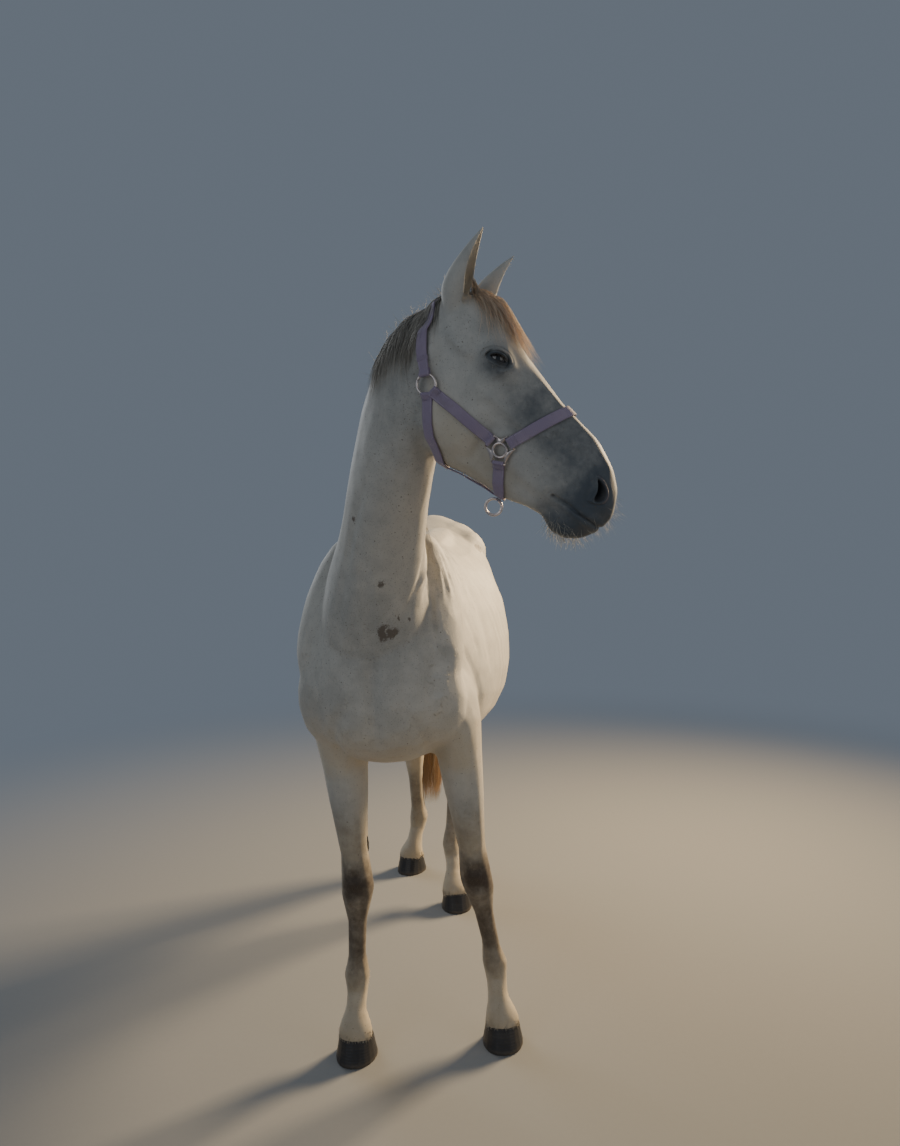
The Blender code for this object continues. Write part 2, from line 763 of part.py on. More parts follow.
def partFlesh(bm, coat):
    # Each island of the cut flesh becomes the node whose anchor is nearest.
    found = islands(bm)
    names = anchors()
    for piece in found:
        if len(piece) < 30:
            continue
        middle = sum((face.calc_center_median() for face in piece), Vector()) / len(piece)
        name = min(names, key=lambda key: (names[key] - middle).length)
        names.pop(name)
        own = bm.copy()
        keep = {face.index for face in piece}
        own.faces.ensure_lookup_table()
        drop = [face for face in own.faces if face.index not in keep]
        bmesh.ops.delete(own, geom=drop, context="FACES")
        finished(name, own, coat)


def eyeBall(sign, radius):
    bm = bmesh.new()
    place = Matrix.Translation(headPoint(eyePlace[0], eyePlace[1], sign * eyePlace[2]))
    bmesh.ops.create_uvsphere(bm, u_segments=12, v_segments=8, radius=radius, matrix=place)
    return bm


def buildStraps(tree, wide, webbing):
    ringEnd = cheekRing + ringWire + 0.005
    barEnd = fittingRing + barReach + 0.001
    webEnd = webWide / 2 + 0.002
    straps = {
        "strap_crown": (mirrored(crownRow, (-0.050, -0.062, 0.0)), ringEnd, ringEnd),
        "strap_throat": (mirrored(throatRow), ringEnd, ringEnd),
        "strap_nose": (mirrored(noseRow, (0.341, 0.003, 0.0)), barEnd, barEnd),
        "strap_jaw": (mirrored(jawRow, (0.384, -0.232, 0.0)), barEnd, barEnd),
        "strap_link": (linkRow, webEnd, webEnd),
    }
    for side, sign in (("left", 1), ("right", -1)):
        row = [(down, out, sign * left) for down, out, left in cheekRow]
        straps["strap_cheek_" + side] = (row, ringEnd, barEnd)
    for name, (spots, start, end) in straps.items():
        bm = bmesh.new()
        addWebbing(bm, tree, spots, start, end)
        finished(name, combined(bm, [wide.copy()], "DIFFERENCE"), webbing)


def restOnCoat(tree, spot, radius, thick):
    # Where the middle of a flat round piece comes to rest on the coat, and its direction.
    place, normal = tree.find_nearest(spot)[:2]
    side = normal.orthogonal().normalized()
    around = [Matrix.Rotation(2 * math.pi * k / 24, 4, normal) @ side for k in range(24)]
    normals = [tree.find_nearest(place + out * radius)[1] for out in around]
    normal = sum(normals, normal).normalized()
    side = normal.orthogonal().normalized()
    lift = thick
    for share in (0.6, 0.8, 1.0):
        for k in range(36):
            out = Matrix.Rotation(2 * math.pi * k / 36, 4, normal) @ side
            rim = place + out * radius * share
            hit = tree.ray_cast(rim + normal * 0.05, -normal, 0.1)[0]
            if hit:
                lift = max(lift, (hit - rim).dot(normal) + thick)
    return place + normal * lift, normal


def buildHardware(tree, metal):
    for side, sign in (("left", 1), ("right", -1)):
        spot = headPoint(ringSpot[0], ringSpot[1], sign * ringSpot[2])
        middle, normal = restOnCoat(tree, spot, cheekRing + ringWire, ringWire + ringLift)
        bm = bmesh.new()
        addRoundRing(bm, middle, normal, cheekRing, ringWire)
        finished("ring_cheek_" + side, bm, metal)
        spot = headPoint(fittingSpot[0], fittingSpot[1], sign * fittingSpot[2])
        middle, normal = restOnCoat(tree, spot, fittingRing + barReach, ringWire + ringLift)
        aims = [headPoint(row[1][0], row[1][1], sign * row[1][2]) for row in (noseRow, jawRow)]
        aims.append(headPoint(cheekRow[-2][0], cheekRow[-2][1], sign * cheekRow[-2][2]))
        finished("fitting_" + side, fittingShape(middle, normal, aims), metal)
    place, normal = tree.find_nearest(headPoint(*chinSpot))[:2]
    drop = webGap + webThick + chinRing + ringWire + 0.002
    bm = bmesh.new()
    addRoundRing(bm, place + normal * drop, headLeft, chinRing, ringWire)
    finished("ring_chin", bm, metal)


def main():
    clearScene()
    flesh = buildFlesh()
    coat = material("coat", (0.62, 0.58, 0.52, 1), 0.8)
    hair = material("hair", (0.63, 0.44, 0.26, 1), 0.7)
    horn = material("horn", (0.05, 0.045, 0.04, 1), 0.5)
    wetEye = material("eye", (0.03, 0.02, 0.015, 1), 0.08)
    webbing = material("webbing", (0.30, 0.22, 0.34, 1), 0.85)
    metal = material("metal", (0.60, 0.57, 0.54, 1), 0.35, 1.0)
    tree = BVHTree.FromBMesh(flesh)
    wide = grown(flesh, partGap * 1.6)
    for leg, pose in legPoses.items():
        bm = bmesh.new()
        loft(bm, hoofRings(pose))
        finished("hoof_" + leg, bm, horn)
    bm = bmesh.new()
    loft(bm, tailRings())
    finished("tail", combined(bm, [wide.copy()], "DIFFERENCE"), hair)
    for name, (base, tip) in ears.items():
        bm = bmesh.new()
        loft(bm, earRings(base, tip, 1 if name == "ear_left" else -1))
        finished(name, combined(bm, [wide.copy()], "DIFFERENCE"), coat)
    sockets = []
    for side, sign in (("left", 1), ("right", -1)):
        finished("eye_" + side, eyeBall(sign, eyeRadius), wetEye)
        sockets.append(eyeBall(sign, eyeRadius + partGap))
    buildStraps(tree, wide, webbing)
    buildHardware(tree, metal)
    flesh = combined(flesh, [plates(), hoofSpaces()] + sockets, "DIFFERENCE")
    partFlesh(flesh, coat)
    for item in bpy.data.objects:
        item.data.transform(Matrix.Translation(-origin))


main()
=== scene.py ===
import math
from contextlib import contextmanager

import bmesh
import bpy
import numpy as np
from mathutils import Matrix, Vector
from mathutils.bvhtree import BVHTree


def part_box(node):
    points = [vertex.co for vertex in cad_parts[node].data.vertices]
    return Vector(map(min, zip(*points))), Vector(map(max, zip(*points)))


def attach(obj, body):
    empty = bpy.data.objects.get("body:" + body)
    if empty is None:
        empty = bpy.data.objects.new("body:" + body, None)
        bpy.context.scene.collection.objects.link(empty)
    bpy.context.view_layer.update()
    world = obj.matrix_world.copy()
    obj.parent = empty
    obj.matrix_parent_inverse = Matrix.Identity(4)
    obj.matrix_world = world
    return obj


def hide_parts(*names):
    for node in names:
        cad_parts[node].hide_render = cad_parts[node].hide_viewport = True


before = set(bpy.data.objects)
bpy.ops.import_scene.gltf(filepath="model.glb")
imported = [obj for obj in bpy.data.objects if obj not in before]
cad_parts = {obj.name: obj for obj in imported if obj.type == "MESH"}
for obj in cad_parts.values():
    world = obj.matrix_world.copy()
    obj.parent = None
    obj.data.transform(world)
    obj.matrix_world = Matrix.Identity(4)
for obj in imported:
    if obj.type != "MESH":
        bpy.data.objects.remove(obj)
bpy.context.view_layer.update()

scene = bpy.context.scene
legs = ("front_left", "front_right", "hind_left", "hind_right")
legNodes = [part + leg for part in ("leg_upper_", "leg_lower_") for leg in legs]
fleshNodes = ["head", "neck", "trunk"] + legNodes
earNodes = ["ear_left", "ear_right"]
sides = {"left": 1, "right": -1}

# where things are: the same lines as the part's own
bodyShift = Vector((0.14, 0.3725, 0))           # from the middle of the outline to the breastbone
pollPlace = Vector((0.292, -0.493, 2.026)) - bodyShift
headTurn = math.radians(83.7)
faceSlope = math.radians(52)
headHeading = Vector((math.sin(headTurn), -math.cos(headTurn), 0))
headLeft = Vector((math.cos(headTurn), math.sin(headTurn), 0))
faceAxis = headHeading * math.cos(faceSlope) - Vector((0, 0, math.sin(faceSlope)))
faceOut = headHeading * math.sin(faceSlope) + Vector((0, 0, math.cos(faceSlope)))
down = Vector((0, 0, -1))
legTop = 0.74                                   # above this a leg's outline runs into the trunk
legTurns = {"front_left": 6, "front_right": -3, "hind_left": 8, "hind_right": -18}


def headPoint(along, out, left=0.0):
    # down the face from the poll, out from the nose line, and to the horse's left
    return pollPlace + faceAxis * along + faceOut * out + headLeft * left


def bodyPoint(across, along, height):
    # across from the trunk's midline, back from the breastbone, and up from the floor
    return Vector((across, along, height)) - bodyShift


def headTerms(places):
    # The down, out and left distances of many points.
    away = places - np.array(pollPlace)
    return away @ np.array(faceAxis), away @ np.array(faceOut), away @ np.array(headLeft)


def bothSides(rows):
    # Head rows of down, out, left for the left side and for the right.
    return [[headPoint(a, b, sign * c) for a, b, c in rows] for sign in (1, -1)]


def smoothRows(rows, steps=6):
    # A Catmull-Rom curve through the rows of a table.
    table = np.array(rows, float)
    padded = np.vstack([2 * table[0] - table[1], table, 2 * table[-1] - table[-2]])
    made = []
    for i in range(len(table) - 1):
        a, b, c, d = padded[i : i + 4]
        for t in np.arange(steps) / steps:
            bend, twist = 2 * a - 5 * b + 4 * c - d, 3 * b - a - 3 * c + d
            made.append(0.5 * (2 * b + (c - a) * t + bend * t**2 + twist * t**3))
    return np.array(made + [table[-1]])


def ease(value, start, end):
    # 0 before start, 1 after end, with a soft step between them.
    share = np.clip((value - start) / (end - start), 0, 1)
    return share * share * (3 - 2 * share)


def hill(value, middle, width):
    # 1 at the middle, falling softly to 0 on both sides.
    return np.exp(-(((value - middle) / width) ** 2))


def near(places, spot, reach):
    return hill(np.linalg.norm(places - np.array(spot), axis=1), 0, reach)


def most(*values):
    return np.maximum.reduce(values)


def unit(vectors):
    return vectors / np.maximum(np.linalg.norm(vectors, axis=-1, keepdims=True), 1e-9)


def awayFrom(places, path):
    # How far each point is from a path, and how far along the path it is, from 0 to 1.
    best = np.full(len(places), 1e9)
    share = np.zeros(len(places))
    for k in range(len(path) - 1):
        step = path[k + 1] - path[k]
        t = np.clip((places - path[k]) @ step / max(1e-12, step @ step), 0, 1)
        gap = np.linalg.norm(places - path[k] - t[:, None] * step, axis=1)
        closer = gap < best
        best[closer] = gap[closer]
        share[closer] = (k + t[closer]) / (len(path) - 1)
    return best, share


def edgesOf(verts):
    # Each edge once, always in the same order.
    return list(dict.fromkeys(edge for vert in verts for edge in vert.link_edges))


def loft(bm, rings):
    # Grows a closed shape over the rings, one edge extrusion at a time.
    turn = bm.verts.layers.int.get("turn") or bm.verts.layers.int.new("turn")
    verts = bmesh.ops.create_circle(bm, segments=len(rings[0]), radius=1)["verts"]
    for k, vert in enumerate(verts):
        vert[turn] = k
        vert.co = rings[0][k]
    edges = edgesOf(verts)
    ends = [edges]
    for ring in rings[1:]:
        grown = bmesh.ops.extrude_edge_only(bm, edges=edges)["geom"]
        fresh = {item for item in grown if isinstance(item, bmesh.types.BMVert)}
        for vert in fresh:
            vert.co = ring[vert[turn]]
        edges = [item for item in grown if item not in fresh and set(item.verts) <= fresh]
    for loop in ends + [edges]:
        bmesh.ops.contextual_create(bm, geom=loop)


def cutManySided(bm):
    bmesh.ops.triangulate(bm, faces=[face for face in bm.faces if len(face.verts) > 4])


def dress(mesh, look):
    mesh.materials.clear()
    mesh.materials.append(look)
    mesh.shade_smooth()


def link(name, mesh, look=None):
    piece = bpy.data.objects.new(name, mesh)
    scene.collection.objects.link(piece)
    if look:
        dress(mesh, look)
    return piece


def fromShape(name, bm, look=None):
    # A piece from a bmesh, with its many-sided faces cut into triangles.
    cutManySided(bm)
    bmesh.ops.recalc_face_normals(bm, faces=bm.faces)
    mesh = bpy.data.meshes.new(name)
    bm.to_mesh(mesh)
    bm.free()
    return link(name, mesh, look)


def keep(piece, finish, *nodes):
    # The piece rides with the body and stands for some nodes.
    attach(piece, "root")
    if nodes:
        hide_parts(*nodes)
    return piece


def changed(piece, kind, **settings):
    # The piece with one modifier made real.
    modifier = piece.modifiers.new(kind.lower(), kind)
    for key, value in settings.items():
        setattr(modifier, key, value)
    deps = bpy.context.evaluated_depsgraph_get()
    mesh = bpy.data.meshes.new_from_object(piece.evaluated_get(deps))
    old = piece.data
    piece.modifiers.clear()
    piece.data = mesh
    mesh.name = piece.name
    bpy.data.meshes.remove(old)


@contextmanager
def opened(mesh):
    # The mesh's shape, written back after it is edited.
    bm = bmesh.new()
    bm.from_mesh(mesh)
    yield bm
    bm.to_mesh(mesh)
    bm.free()


def treeOf(piece):
    return BVHTree.FromObject(piece, bpy.context.evaluated_depsgraph_get())


def copied(name, nodes):
    # One mesh of several nodes' solids, with their corners merged.
    bm = bmesh.new()
    for node in nodes:
        bm.from_mesh(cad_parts[node].data)
    bmesh.ops.remove_doubles(bm, verts=bm.verts, dist=0.00002)
    mesh = bpy.data.meshes.new(name)
    bm.to_mesh(mesh)
    bm.free()
    return link(name, mesh)


def read(items, key, width, kind=float):
    # One row of numbers for each item.
    values = np.empty(len(items) * width, dtype=kind)
    items.foreach_get(key, values)
    return values.reshape(-1, width)


def readPlaces(mesh):
    return read(mesh.vertices, "co", 3)


def readNormals(mesh):
    return read(mesh.vertex_normals, "vector", 3)


def readEdges(mesh):
    return read(mesh.edges, "vertices", 2, np.int32).T


def move(mesh, places):
    mesh.vertices.foreach_set("co", places.ravel())
    mesh.update()


def paint(mesh, name, values):
    # Three numbers for each corner of the mesh, kept as a colour.
    layer = mesh.attributes.new(name, "FLOAT_COLOR", "POINT")
    layer.data.foreach_set("color", np.c_[values, np.ones(len(values))].ravel())


def legMiddle(leg, height):
    # The middle of a leg's outline at a height, from where its nodes' edges cross it.
    spots = []
    level = min(height, legTop) + 0.001             # clear of the plane where the leg is parted
    for node in ("leg_upper_" + leg, "leg_lower_" + leg, "hoof_" + leg):
        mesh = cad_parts[node].data
        start, end = (readPlaces(mesh)[ends] for ends in readEdges(mesh))
        crossing = (start[:, 2] - level) * (end[:, 2] - level) < 0
        start, end = start[crossing], end[crossing]
        share = (level - start[:, 2]) / (end[:, 2] - start[:, 2])
        spots.append(start + (end - start) * share[:, None])
    spots = np.vstack(spots)
    middle = (spots.min(0) + spots.max(0)) / 2
    return Vector((middle[0], middle[1], height))


def legFrame(leg):
    toe = Matrix.Rotation(math.radians(legTurns[leg]), 3, "Z") @ Vector((0, -1, 0))
    return toe, Vector((-toe.y, toe.x, 0))      # the toe's way, and to the horse's left


cameraView = {
    "place": Vector((0.288, -2.8425, 1.6)),
    "azimuth": math.radians(5.7),               # to the left of straight on
    "pitch": math.radians(5.27),
    "roll": math.radians(-1.72),
    "sensor": 36,
    "lens": 36 * 900 / 1146,
}


def addCamera():
    azimuth, pitch = cameraView["azimuth"], cameraView["pitch"]
    ahead = Vector((-math.sin(azimuth), math.cos(azimuth), 0)) * math.cos(pitch)
    ahead.z = -math.sin(pitch)
    camera = bpy.data.objects.new("camera", bpy.data.cameras.new("camera"))
    scene.collection.objects.link(camera)
    turn = ahead.to_track_quat("-Z", "Y").to_matrix()
    turn = turn @ Matrix.Rotation(cameraView["roll"], 3, "Z")
    camera.matrix_world = Matrix.Translation(cameraView["place"]) @ turn.to_4x4()
    camera.data.lens = cameraView["lens"]
    camera.data.sensor_width = cameraView["sensor"]
    scene.camera = camera


addCamera()
print("camera: set")


class Value:
    # A number socket that can be used in sums.
    def __init__(self, look, socket):
        self.look = look
        self.socket = socket

    def sum(self, operation, *others):
        values = dict(enumerate((self,) + others))
        return self.look.node("ShaderNodeMath", {"operation": operation}, values)

    def reflected(self, operation, other):
        return self.look.node("ShaderNodeMath", {"operation": operation}, {0: other, 1: self})

    def __add__(self, other):
        return self.sum("ADD", other)

    def __sub__(self, other):
        return self.sum("SUBTRACT", other)

    def __mul__(self, other):
        return self.sum("MULTIPLY", other)

    def __radd__(self, other):
        return self.reflected("ADD", other)

    def __rsub__(self, other):
        return self.reflected("SUBTRACT", other)

    def step(self, start, end):
        # 0 at start, 1 at end, smooth between and flat beyond
        settings = {"interpolation_type": "SMOOTHSTEP"}
        values = {"Value": self, "From Min": start, "From Max": end}
        return self.look.node("ShaderNodeMapRange", settings, values)


class Look:
    # A material with a Principled shader, and short ways to add nodes to it.
    def __init__(self, name, rough, **constants):
        self.material = bpy.data.materials.new(name)
        self.material.use_nodes = True
        self.tree = self.material.node_tree
        self.shader = self.tree.nodes["Principled BSDF"]
        for key, value in dict(constants, Roughness=rough).items():
            self.shader.inputs[key.replace("_", " ")].default_value = value

    def node(self, kind, settings=None, values=None, out=0):
        made = self.tree.nodes.new(kind)
        for key, value in (settings or {}).items():
            setattr(made, key, value)
        for key, value in (values or {}).items():
            if isinstance(value, Value):
                self.tree.links.new(value.socket, made.inputs[key])
            else:
                made.inputs[key].default_value = value
        return Value(self, made.outputs[out])

    def place(self, scale=None):
        where = self.node("ShaderNodeTexCoord", out="Object")
        if not scale:
            return where
        return self.node("ShaderNodeMapping", None, {"Vector": where, "Scale": scale})

    def noise(self, where, scale, detail=2.0, rough=0.5, out=0):
        values = {"Vector": where, "Scale": scale, "Detail": detail, "Roughness": rough}
        return self.node("ShaderNodeTexNoise", None, values, out)

    def cells(self, where, scale, out="Distance"):
        return self.node("ShaderNodeTexVoronoi", None, {"Vector": where, "Scale": scale}, out)

    def tint(self, first, second, share):
        settings = {"data_type": "RGBA"}
        return self.node("ShaderNodeMix", settings, {0: share, 6: first, 7: second}, 2)

    def axis(self, where, number):
        return self.node("ShaderNodeSeparateXYZ", None, {0: where}, number)

    def mark(self, name, out="Color"):
        return self.node("ShaderNodeAttribute", {"attribute_name": name}, None, out)

    def split(self, name):
        made = self.node("ShaderNodeSeparateColor", None, {0: self.mark(name)})
        return [Value(self, socket) for socket in made.socket.node.outputs]

    def bump(self, height, strength, distance):
        values = {"Height": height, "Strength": strength, "Distance": distance}
        self.set("Normal", self.node("ShaderNodeBump", None, values))

    def set(self, name, value):
        self.tree.links.new(value.socket, self.shader.inputs[name])


def colour(red, green, blue):
    return (red, green, blue, 1.0)


coatColours = {
    "white": colour(0.57, 0.54, 0.48),
    "grey": colour(0.34, 0.336, 0.312),
    "slate": colour(0.07, 0.083, 0.096),
    "brown": colour(0.062, 0.043, 0.03),
    "cream": colour(0.6, 0.49, 0.33),
    "pink": colour(0.23, 0.125, 0.112),
    "fleck": colour(0.11, 0.082, 0.06),
    "bare": colour(0.034, 0.033, 0.034),
}
# scale, size in the cell, and share of the cells that have one
flecks = ((260, 0.2, 0.16), (120, 0.17, 0.13), (520, 0.28, 0.2))


def coatLook(name, depth):
    # Grey coat over dark skin. The marks say where it is dark, warm, pink and flecked; the dark
    # mark also carries painted shade on the face, the upper legs and under the belly.
    look = Look(name, 0.55, Sheen_Weight=0.12, Sheen_Roughness=0.4)
    dark, warm, pink = look.split("marks")
    flecked, bare, patch = look.split("spots")
    where = look.place()
    cloud = look.noise(where, 3.5, 4, 0.55)
    mottle = look.noise(where, 22, 4, 0.6)
    strands = look.noise(look.place((420, 420, 95)), 1, 3, 0.6)
    greyness = (cloud * 0.9 + mottle * 0.5 + strands * 0.22).step(0.62, 1.12)
    base = look.tint(coatColours["white"], coatColours["grey"], greyness * 0.85)
    base = look.tint(base, coatColours["cream"], (warm * (0.6 + mottle * 0.7)).step(0.05, 1.1))
    rough = look.noise(where, 55, 5, 0.65)
    shade = (dark * (0.4 + mottle * 0.6 + rough * 0.55)).step(0.04, 0.95)
    deep = look.tint(coatColours["slate"], coatColours["brown"], warm.step(0.35, 0.6))
    base = look.tint(base, deep, shade)
    # the flecks are round cells with their outlines bent by noise
    values = {0: look.noise(where, 300, out="Color"), 1: (0.0032,) * 3, 2: where}
    bent = look.node("ShaderNodeVectorMath", {"operation": "MULTIPLY_ADD"}, values)
    for scale, size, share in flecks:
        cell = look.node("ShaderNodeSeparateColor", None, {0: look.cells(bent, scale, "Color")})
        chosen = (cell - (1 - (flecked * share))).step(-0.01, 0.01)
        dot = 1 - look.cells(bent, scale).step(size * 0.7, size * 1.5)
        base = look.tint(base, coatColours["fleck"], chosen * dot * 0.8)
    ragged = look.noise(where, 90, 4, 0.7)
    blotch = (patch * (0.2 + ragged * 1.6)).step(0.6, 0.85)
    base = look.tint(base, coatColours["fleck"], blotch * 0.85)
    base = look.tint(base, coatColours["pink"], pink)
    look.set("Base Color", look.tint(base, coatColours["bare"], bare))
    look.set("Roughness", 0.62 - bare * 0.22 - pink * 0.15 + mottle * 0.06)
    fine = look.noise(where, 900)
    look.bump(strands * (1 - bare * 0.8) + fine * 0.35 + mottle * 0.4, 0.35, depth)
    return look.material


def hairLook(name, root, tip, pale):
    # Long hair: root to tip along each lock, with lighter and darker locks.
    look = Look(name, 0.5, Sheen_Weight=0.1)
    along, lock = look.split("hair")[:2]
    streak = look.noise(look.place((260, 260, 60)), 1, 3)
    base = look.tint(colour(*root), colour(*tip), (along + (streak - 0.5) * 0.5).step(0.1, 0.9))
    look.set("Base Color", look.tint(base, colour(*pale), lock.step(0.55, 1) * 0.8))
    look.set("Roughness", 0.42 + streak * 0.2)
    look.bump(streak, 0.3, 0.0006)
    return look.material


skinPlan = {
    "voxel": 0.005,
    "smoothTurns": 14,
    "depth": 0.001,                             # how far the skin lies inside the part's outline
    "legRise": 0.003,                           # and how far it stands out again on the legs
    "triangles": 176000,
    "eyeRadius": 0.0215,
    "eyePlace": (0.168, -0.047, 0.078),         # down, out, left
    "lid": 0.002,                               # the lid's thickness at its edge
}


class Clay:
    # The points of a skin, pushed in and out along their normals.
    def __init__(self, piece):
        self.piece = piece
        self.places = readPlaces(piece.data)
        self.normals = readNormals(piece.data)
        self.tree = treeOf(piece)

    def settle(self):
        move(self.piece.data, self.places)
        self.normals = readNormals(self.piece.data)

    def stroke(self, rows, rise, width, fade=0.25):
        # A ridge along a path laid on the skin, or a groove if rise is below 0.
        path = smoothRows(rows) if len(rows) > 1 else np.array(rows)
        path = np.array([self.tree.find_nearest(Vector(spot))[0] for spot in path])
        low, high = path.min(0) - width * 2.6, path.max(0) + width * 2.6
        at = np.flatnonzero(((self.places > low) & (self.places < high)).all(1))
        if len(path) == 1:
            gap, ends = np.linalg.norm(self.places[at] - path[0], axis=1), 1
        else:
            gap, share = awayFrom(self.places[at], path)
            ends = ease(np.minimum(share, 1 - share), -0.02, fade)
        self.places[at] += self.normals[at] * (rise * hill(gap, 0, width) * ends)[:, None]


# tables of paths, rise and width, in millimetres: on both sides of the trunk, as across,
# along and height
trunkRelief = [
    ([(90, 120, 1470), (150, 20, 1340), (190, -80, 1180)], 4, 22),
    ([(85, 20, 1500), (130, -70, 1340), (150, -180, 1130)], -2, 22),
    ([(150, 230, 1400), (210, 230, 1220), (210, 190, 1020)], -6, 28),
    ([(190, -40, 1180), (200, 60, 1060), (190, 130, 960)], -4, 16),
    ([(190, 60, 1260), (200, 110, 1120)], -3, 16),
    ([(170, 140, 925)], 6, 30),
    ([(260, 710, 1290)], -12, 60),
    ([(190, 840, 990), (200, 780, 900)], 7, 22),
    ([(240, 790, 1010), (280, 620, 900), (230, 380, 850)], -3, 25),
    ([(150, 1120, 1380), (190, 1140, 1180), (170, 1110, 940)], -6, 16),
    ([(200, 980, 1360), (210, 960, 1160)], -4, 22),
    ([(190, 850, 980)], 7, 35),
    ([(0, 800, 1490), (0, 980, 1510), (0, 1120, 1460)], -4, 16),
    ([(0, 300, 1480), (0, 500, 1446), (0, 700, 1466)], 3, 20),
    ([(80, 300, 1480), (85, 500, 1446), (85, 700, 1466)], -2.5, 22),
    ([(60, -240, 1080), (110, -180, 960), (120, -90, 860)], -7, 18),
    ([(100, 190, 840), (150, 210, 870)], -5, 12),
]
# on one side only, or on the midline
ownRelief = [
    # the breast and the underside
    ([(4, -275, 1190), (0, -280, 1080), (0, -200, 930)], -10, 18),
    ([(0, 300, 790), (0, 600, 780)], -3, 20),
    # the hollow between the turned neck and the left shoulder is shallow
    ([(141, -108, 1384), (155, -158, 1308), (171, -187, 1231), (172, -192, 1160)], 10, 16),
    ([(166, -214, 1085), (156, -203, 1020)], 7, 15),
    ([(150, -218, 1160), (152, -217, 1120)], -4, 14),
    # skin folds that fan from the bent neck over the left shoulder
    ([(135, -90, 1560), (150, -170, 1450), (140, -240, 1340)], 5.6, 7.5),
    ([(140, -70, 1545), (165, -140, 1430), (165, -205, 1320)], 5.6, 7.5),
    ([(145, -50, 1535), (178, -110, 1420), (188, -170, 1310)], 5.6, 7.5),
    ([(148, -30, 1525), (186, -80, 1420), (208, -135, 1300)], 5, 7.5),
    ([(150, -10, 1515), (192, -50, 1430), (222, -95, 1310)], 4.5, 7.5),
    ([(128, -120, 1570), (130, -210, 1450), (105, -270, 1340)], 5.6, 8),
    ([(130, 300, 1470), (175, 250, 1370), (222, 170, 1240)], 3.9, 6.5),
    ([(130, 260, 1475), (172, 215, 1380), (220, 135, 1250)], 3.9, 6.5),
    ([(128, 220, 1480), (168, 180, 1390), (216, 100, 1260)], 3.9, 6.5),
    ([(126, 180, 1485), (164, 145, 1400), (212, 65, 1275)], 3.6, 6.5),
    # the neck's jugular groove and the muscles above and below it
    ([(60, -430, 1640), (-40, -340, 1440), (-75, -240, 1220)], -6, 16),
    ([(20, -420, 1700), (-70, -270, 1480), (-120, -130, 1300)], 3, 26),
    ([(160, -330, 1620), (120, -270, 1440), (80, -260, 1240)], -5, 14),
    ([(30, -380, 1560), (15, -300, 1380), (0, -262, 1240)], -3, 14),
]
ribPlan = {"count": 10, "first": 0.3, "apart": 0.048, "rise": 0.0022, "width": 0.012}
# on both sides of the head: down, out, left
headRelief = [
    ([(195, -108, 80), (255, -100, 70), (335, -95, 60)], 4.5, 9),
    ([(200, -125, 75), (260, -120, 65), (330, -115, 50)], -2.5, 10),
    ([(100, -26, 62)], -6, 16),
    ([(142, -82, 95), (100, -88, 94), (55, -96, 80)], 3.5, 9),
    ([(80, -120, 80), (110, -190, 75), (180, -262, 60)], -3.5, 10),
    ([(110, -120, 85), (150, -200, 80), (215, -250, 60)], 3, 18),
    ([(265, -125, 65), (275, -180, 60), (290, -240, 45)], -3.5, 12),
    ([(225, -10, 36), (330, -4, 26), (440, -4, 20)], 2, 8),
    ([(350, -52, 55), (450, -46, 46)], -5, 16),
    ([(300, -64, 60), (400, -40, 40), (480, -22, 26)], 1.8, 7),
    ([(240, -40, 62), (290, -66, 62)], 1.2, 5),
    ([(300, -230, 40), (283, -170, 60), (310, -100, 62)], 1.4, 4.5),
    ([(310, -100, 62), (370, -60, 52), (430, -62, 50)], 1.2, 4),
    ([(280, -170, 60), (340, -140, 52), (400, -120, 48)], 1.2, 4),
    ([(470, -110, 50), (520, -95, 52)], 2, 14),
    ([(420, -140, 50), (470, -118, 55)], 2.5, 12),
    ([(30, -120, 70), (60, -160, 72), (95, -220, 62)], -4, 12),
    ([(32, -50, 58)], 10, 30),
]
# on a front leg, a hind leg and every lower leg: height, ahead, across
foreRelief = [
    ([(800, 45, 30), (680, 40, 30), (580, 38, 22)], 3, 18),
    ([(820, -10, 60), (690, -8, 50), (570, -6, 40)], -3.5, 10),
    ([(820, -10, -60), (690, -8, -50), (570, -6, -40)], -3, 10),
    ([(545, 40, -30), (548, 50, 0), (545, 40, 30)], 2.5, 11),
    ([(505, 45, -30), (505, 55, 0), (505, 45, 30)], 2.5, 10),
    ([(450, 40, -30), (448, 48, 0), (450, 40, 30)], 3, 11),
    ([(525, 45, -35), (525, 55, 0), (525, 45, 35)], -2, 6),
    ([(478, 45, -35), (478, 55, 0), (478, 45, 35)], -2.2, 6),
    ([(500, -50, 8)], 6, 16),
    ([(470, -40, 20), (430, -40, 16)], -2, 10),
]
hindRelief = [
    ([(860, -70, 45), (760, -60, 38), (660, -50, 30)], -8, 15),
    ([(860, -70, -45), (760, -60, -38), (660, -50, -30)], -8, 15),
    ([(625, -80, 0)], 5, 18),
    ([(600, 10, 50)], 4, 18),
    ([(600, 10, -50)], 4.5, 18),
    ([(545, 0, 45)], 3, 14),
    ([(640, 50, 0), (560, 50, 0), (490, 40, 0)], 3, 10),
    ([(590, -55, 20), (500, -45, 20)], -2.5, 10),
    ([(590, -55, -20), (500, -45, -20)], -2.5, 10),
]
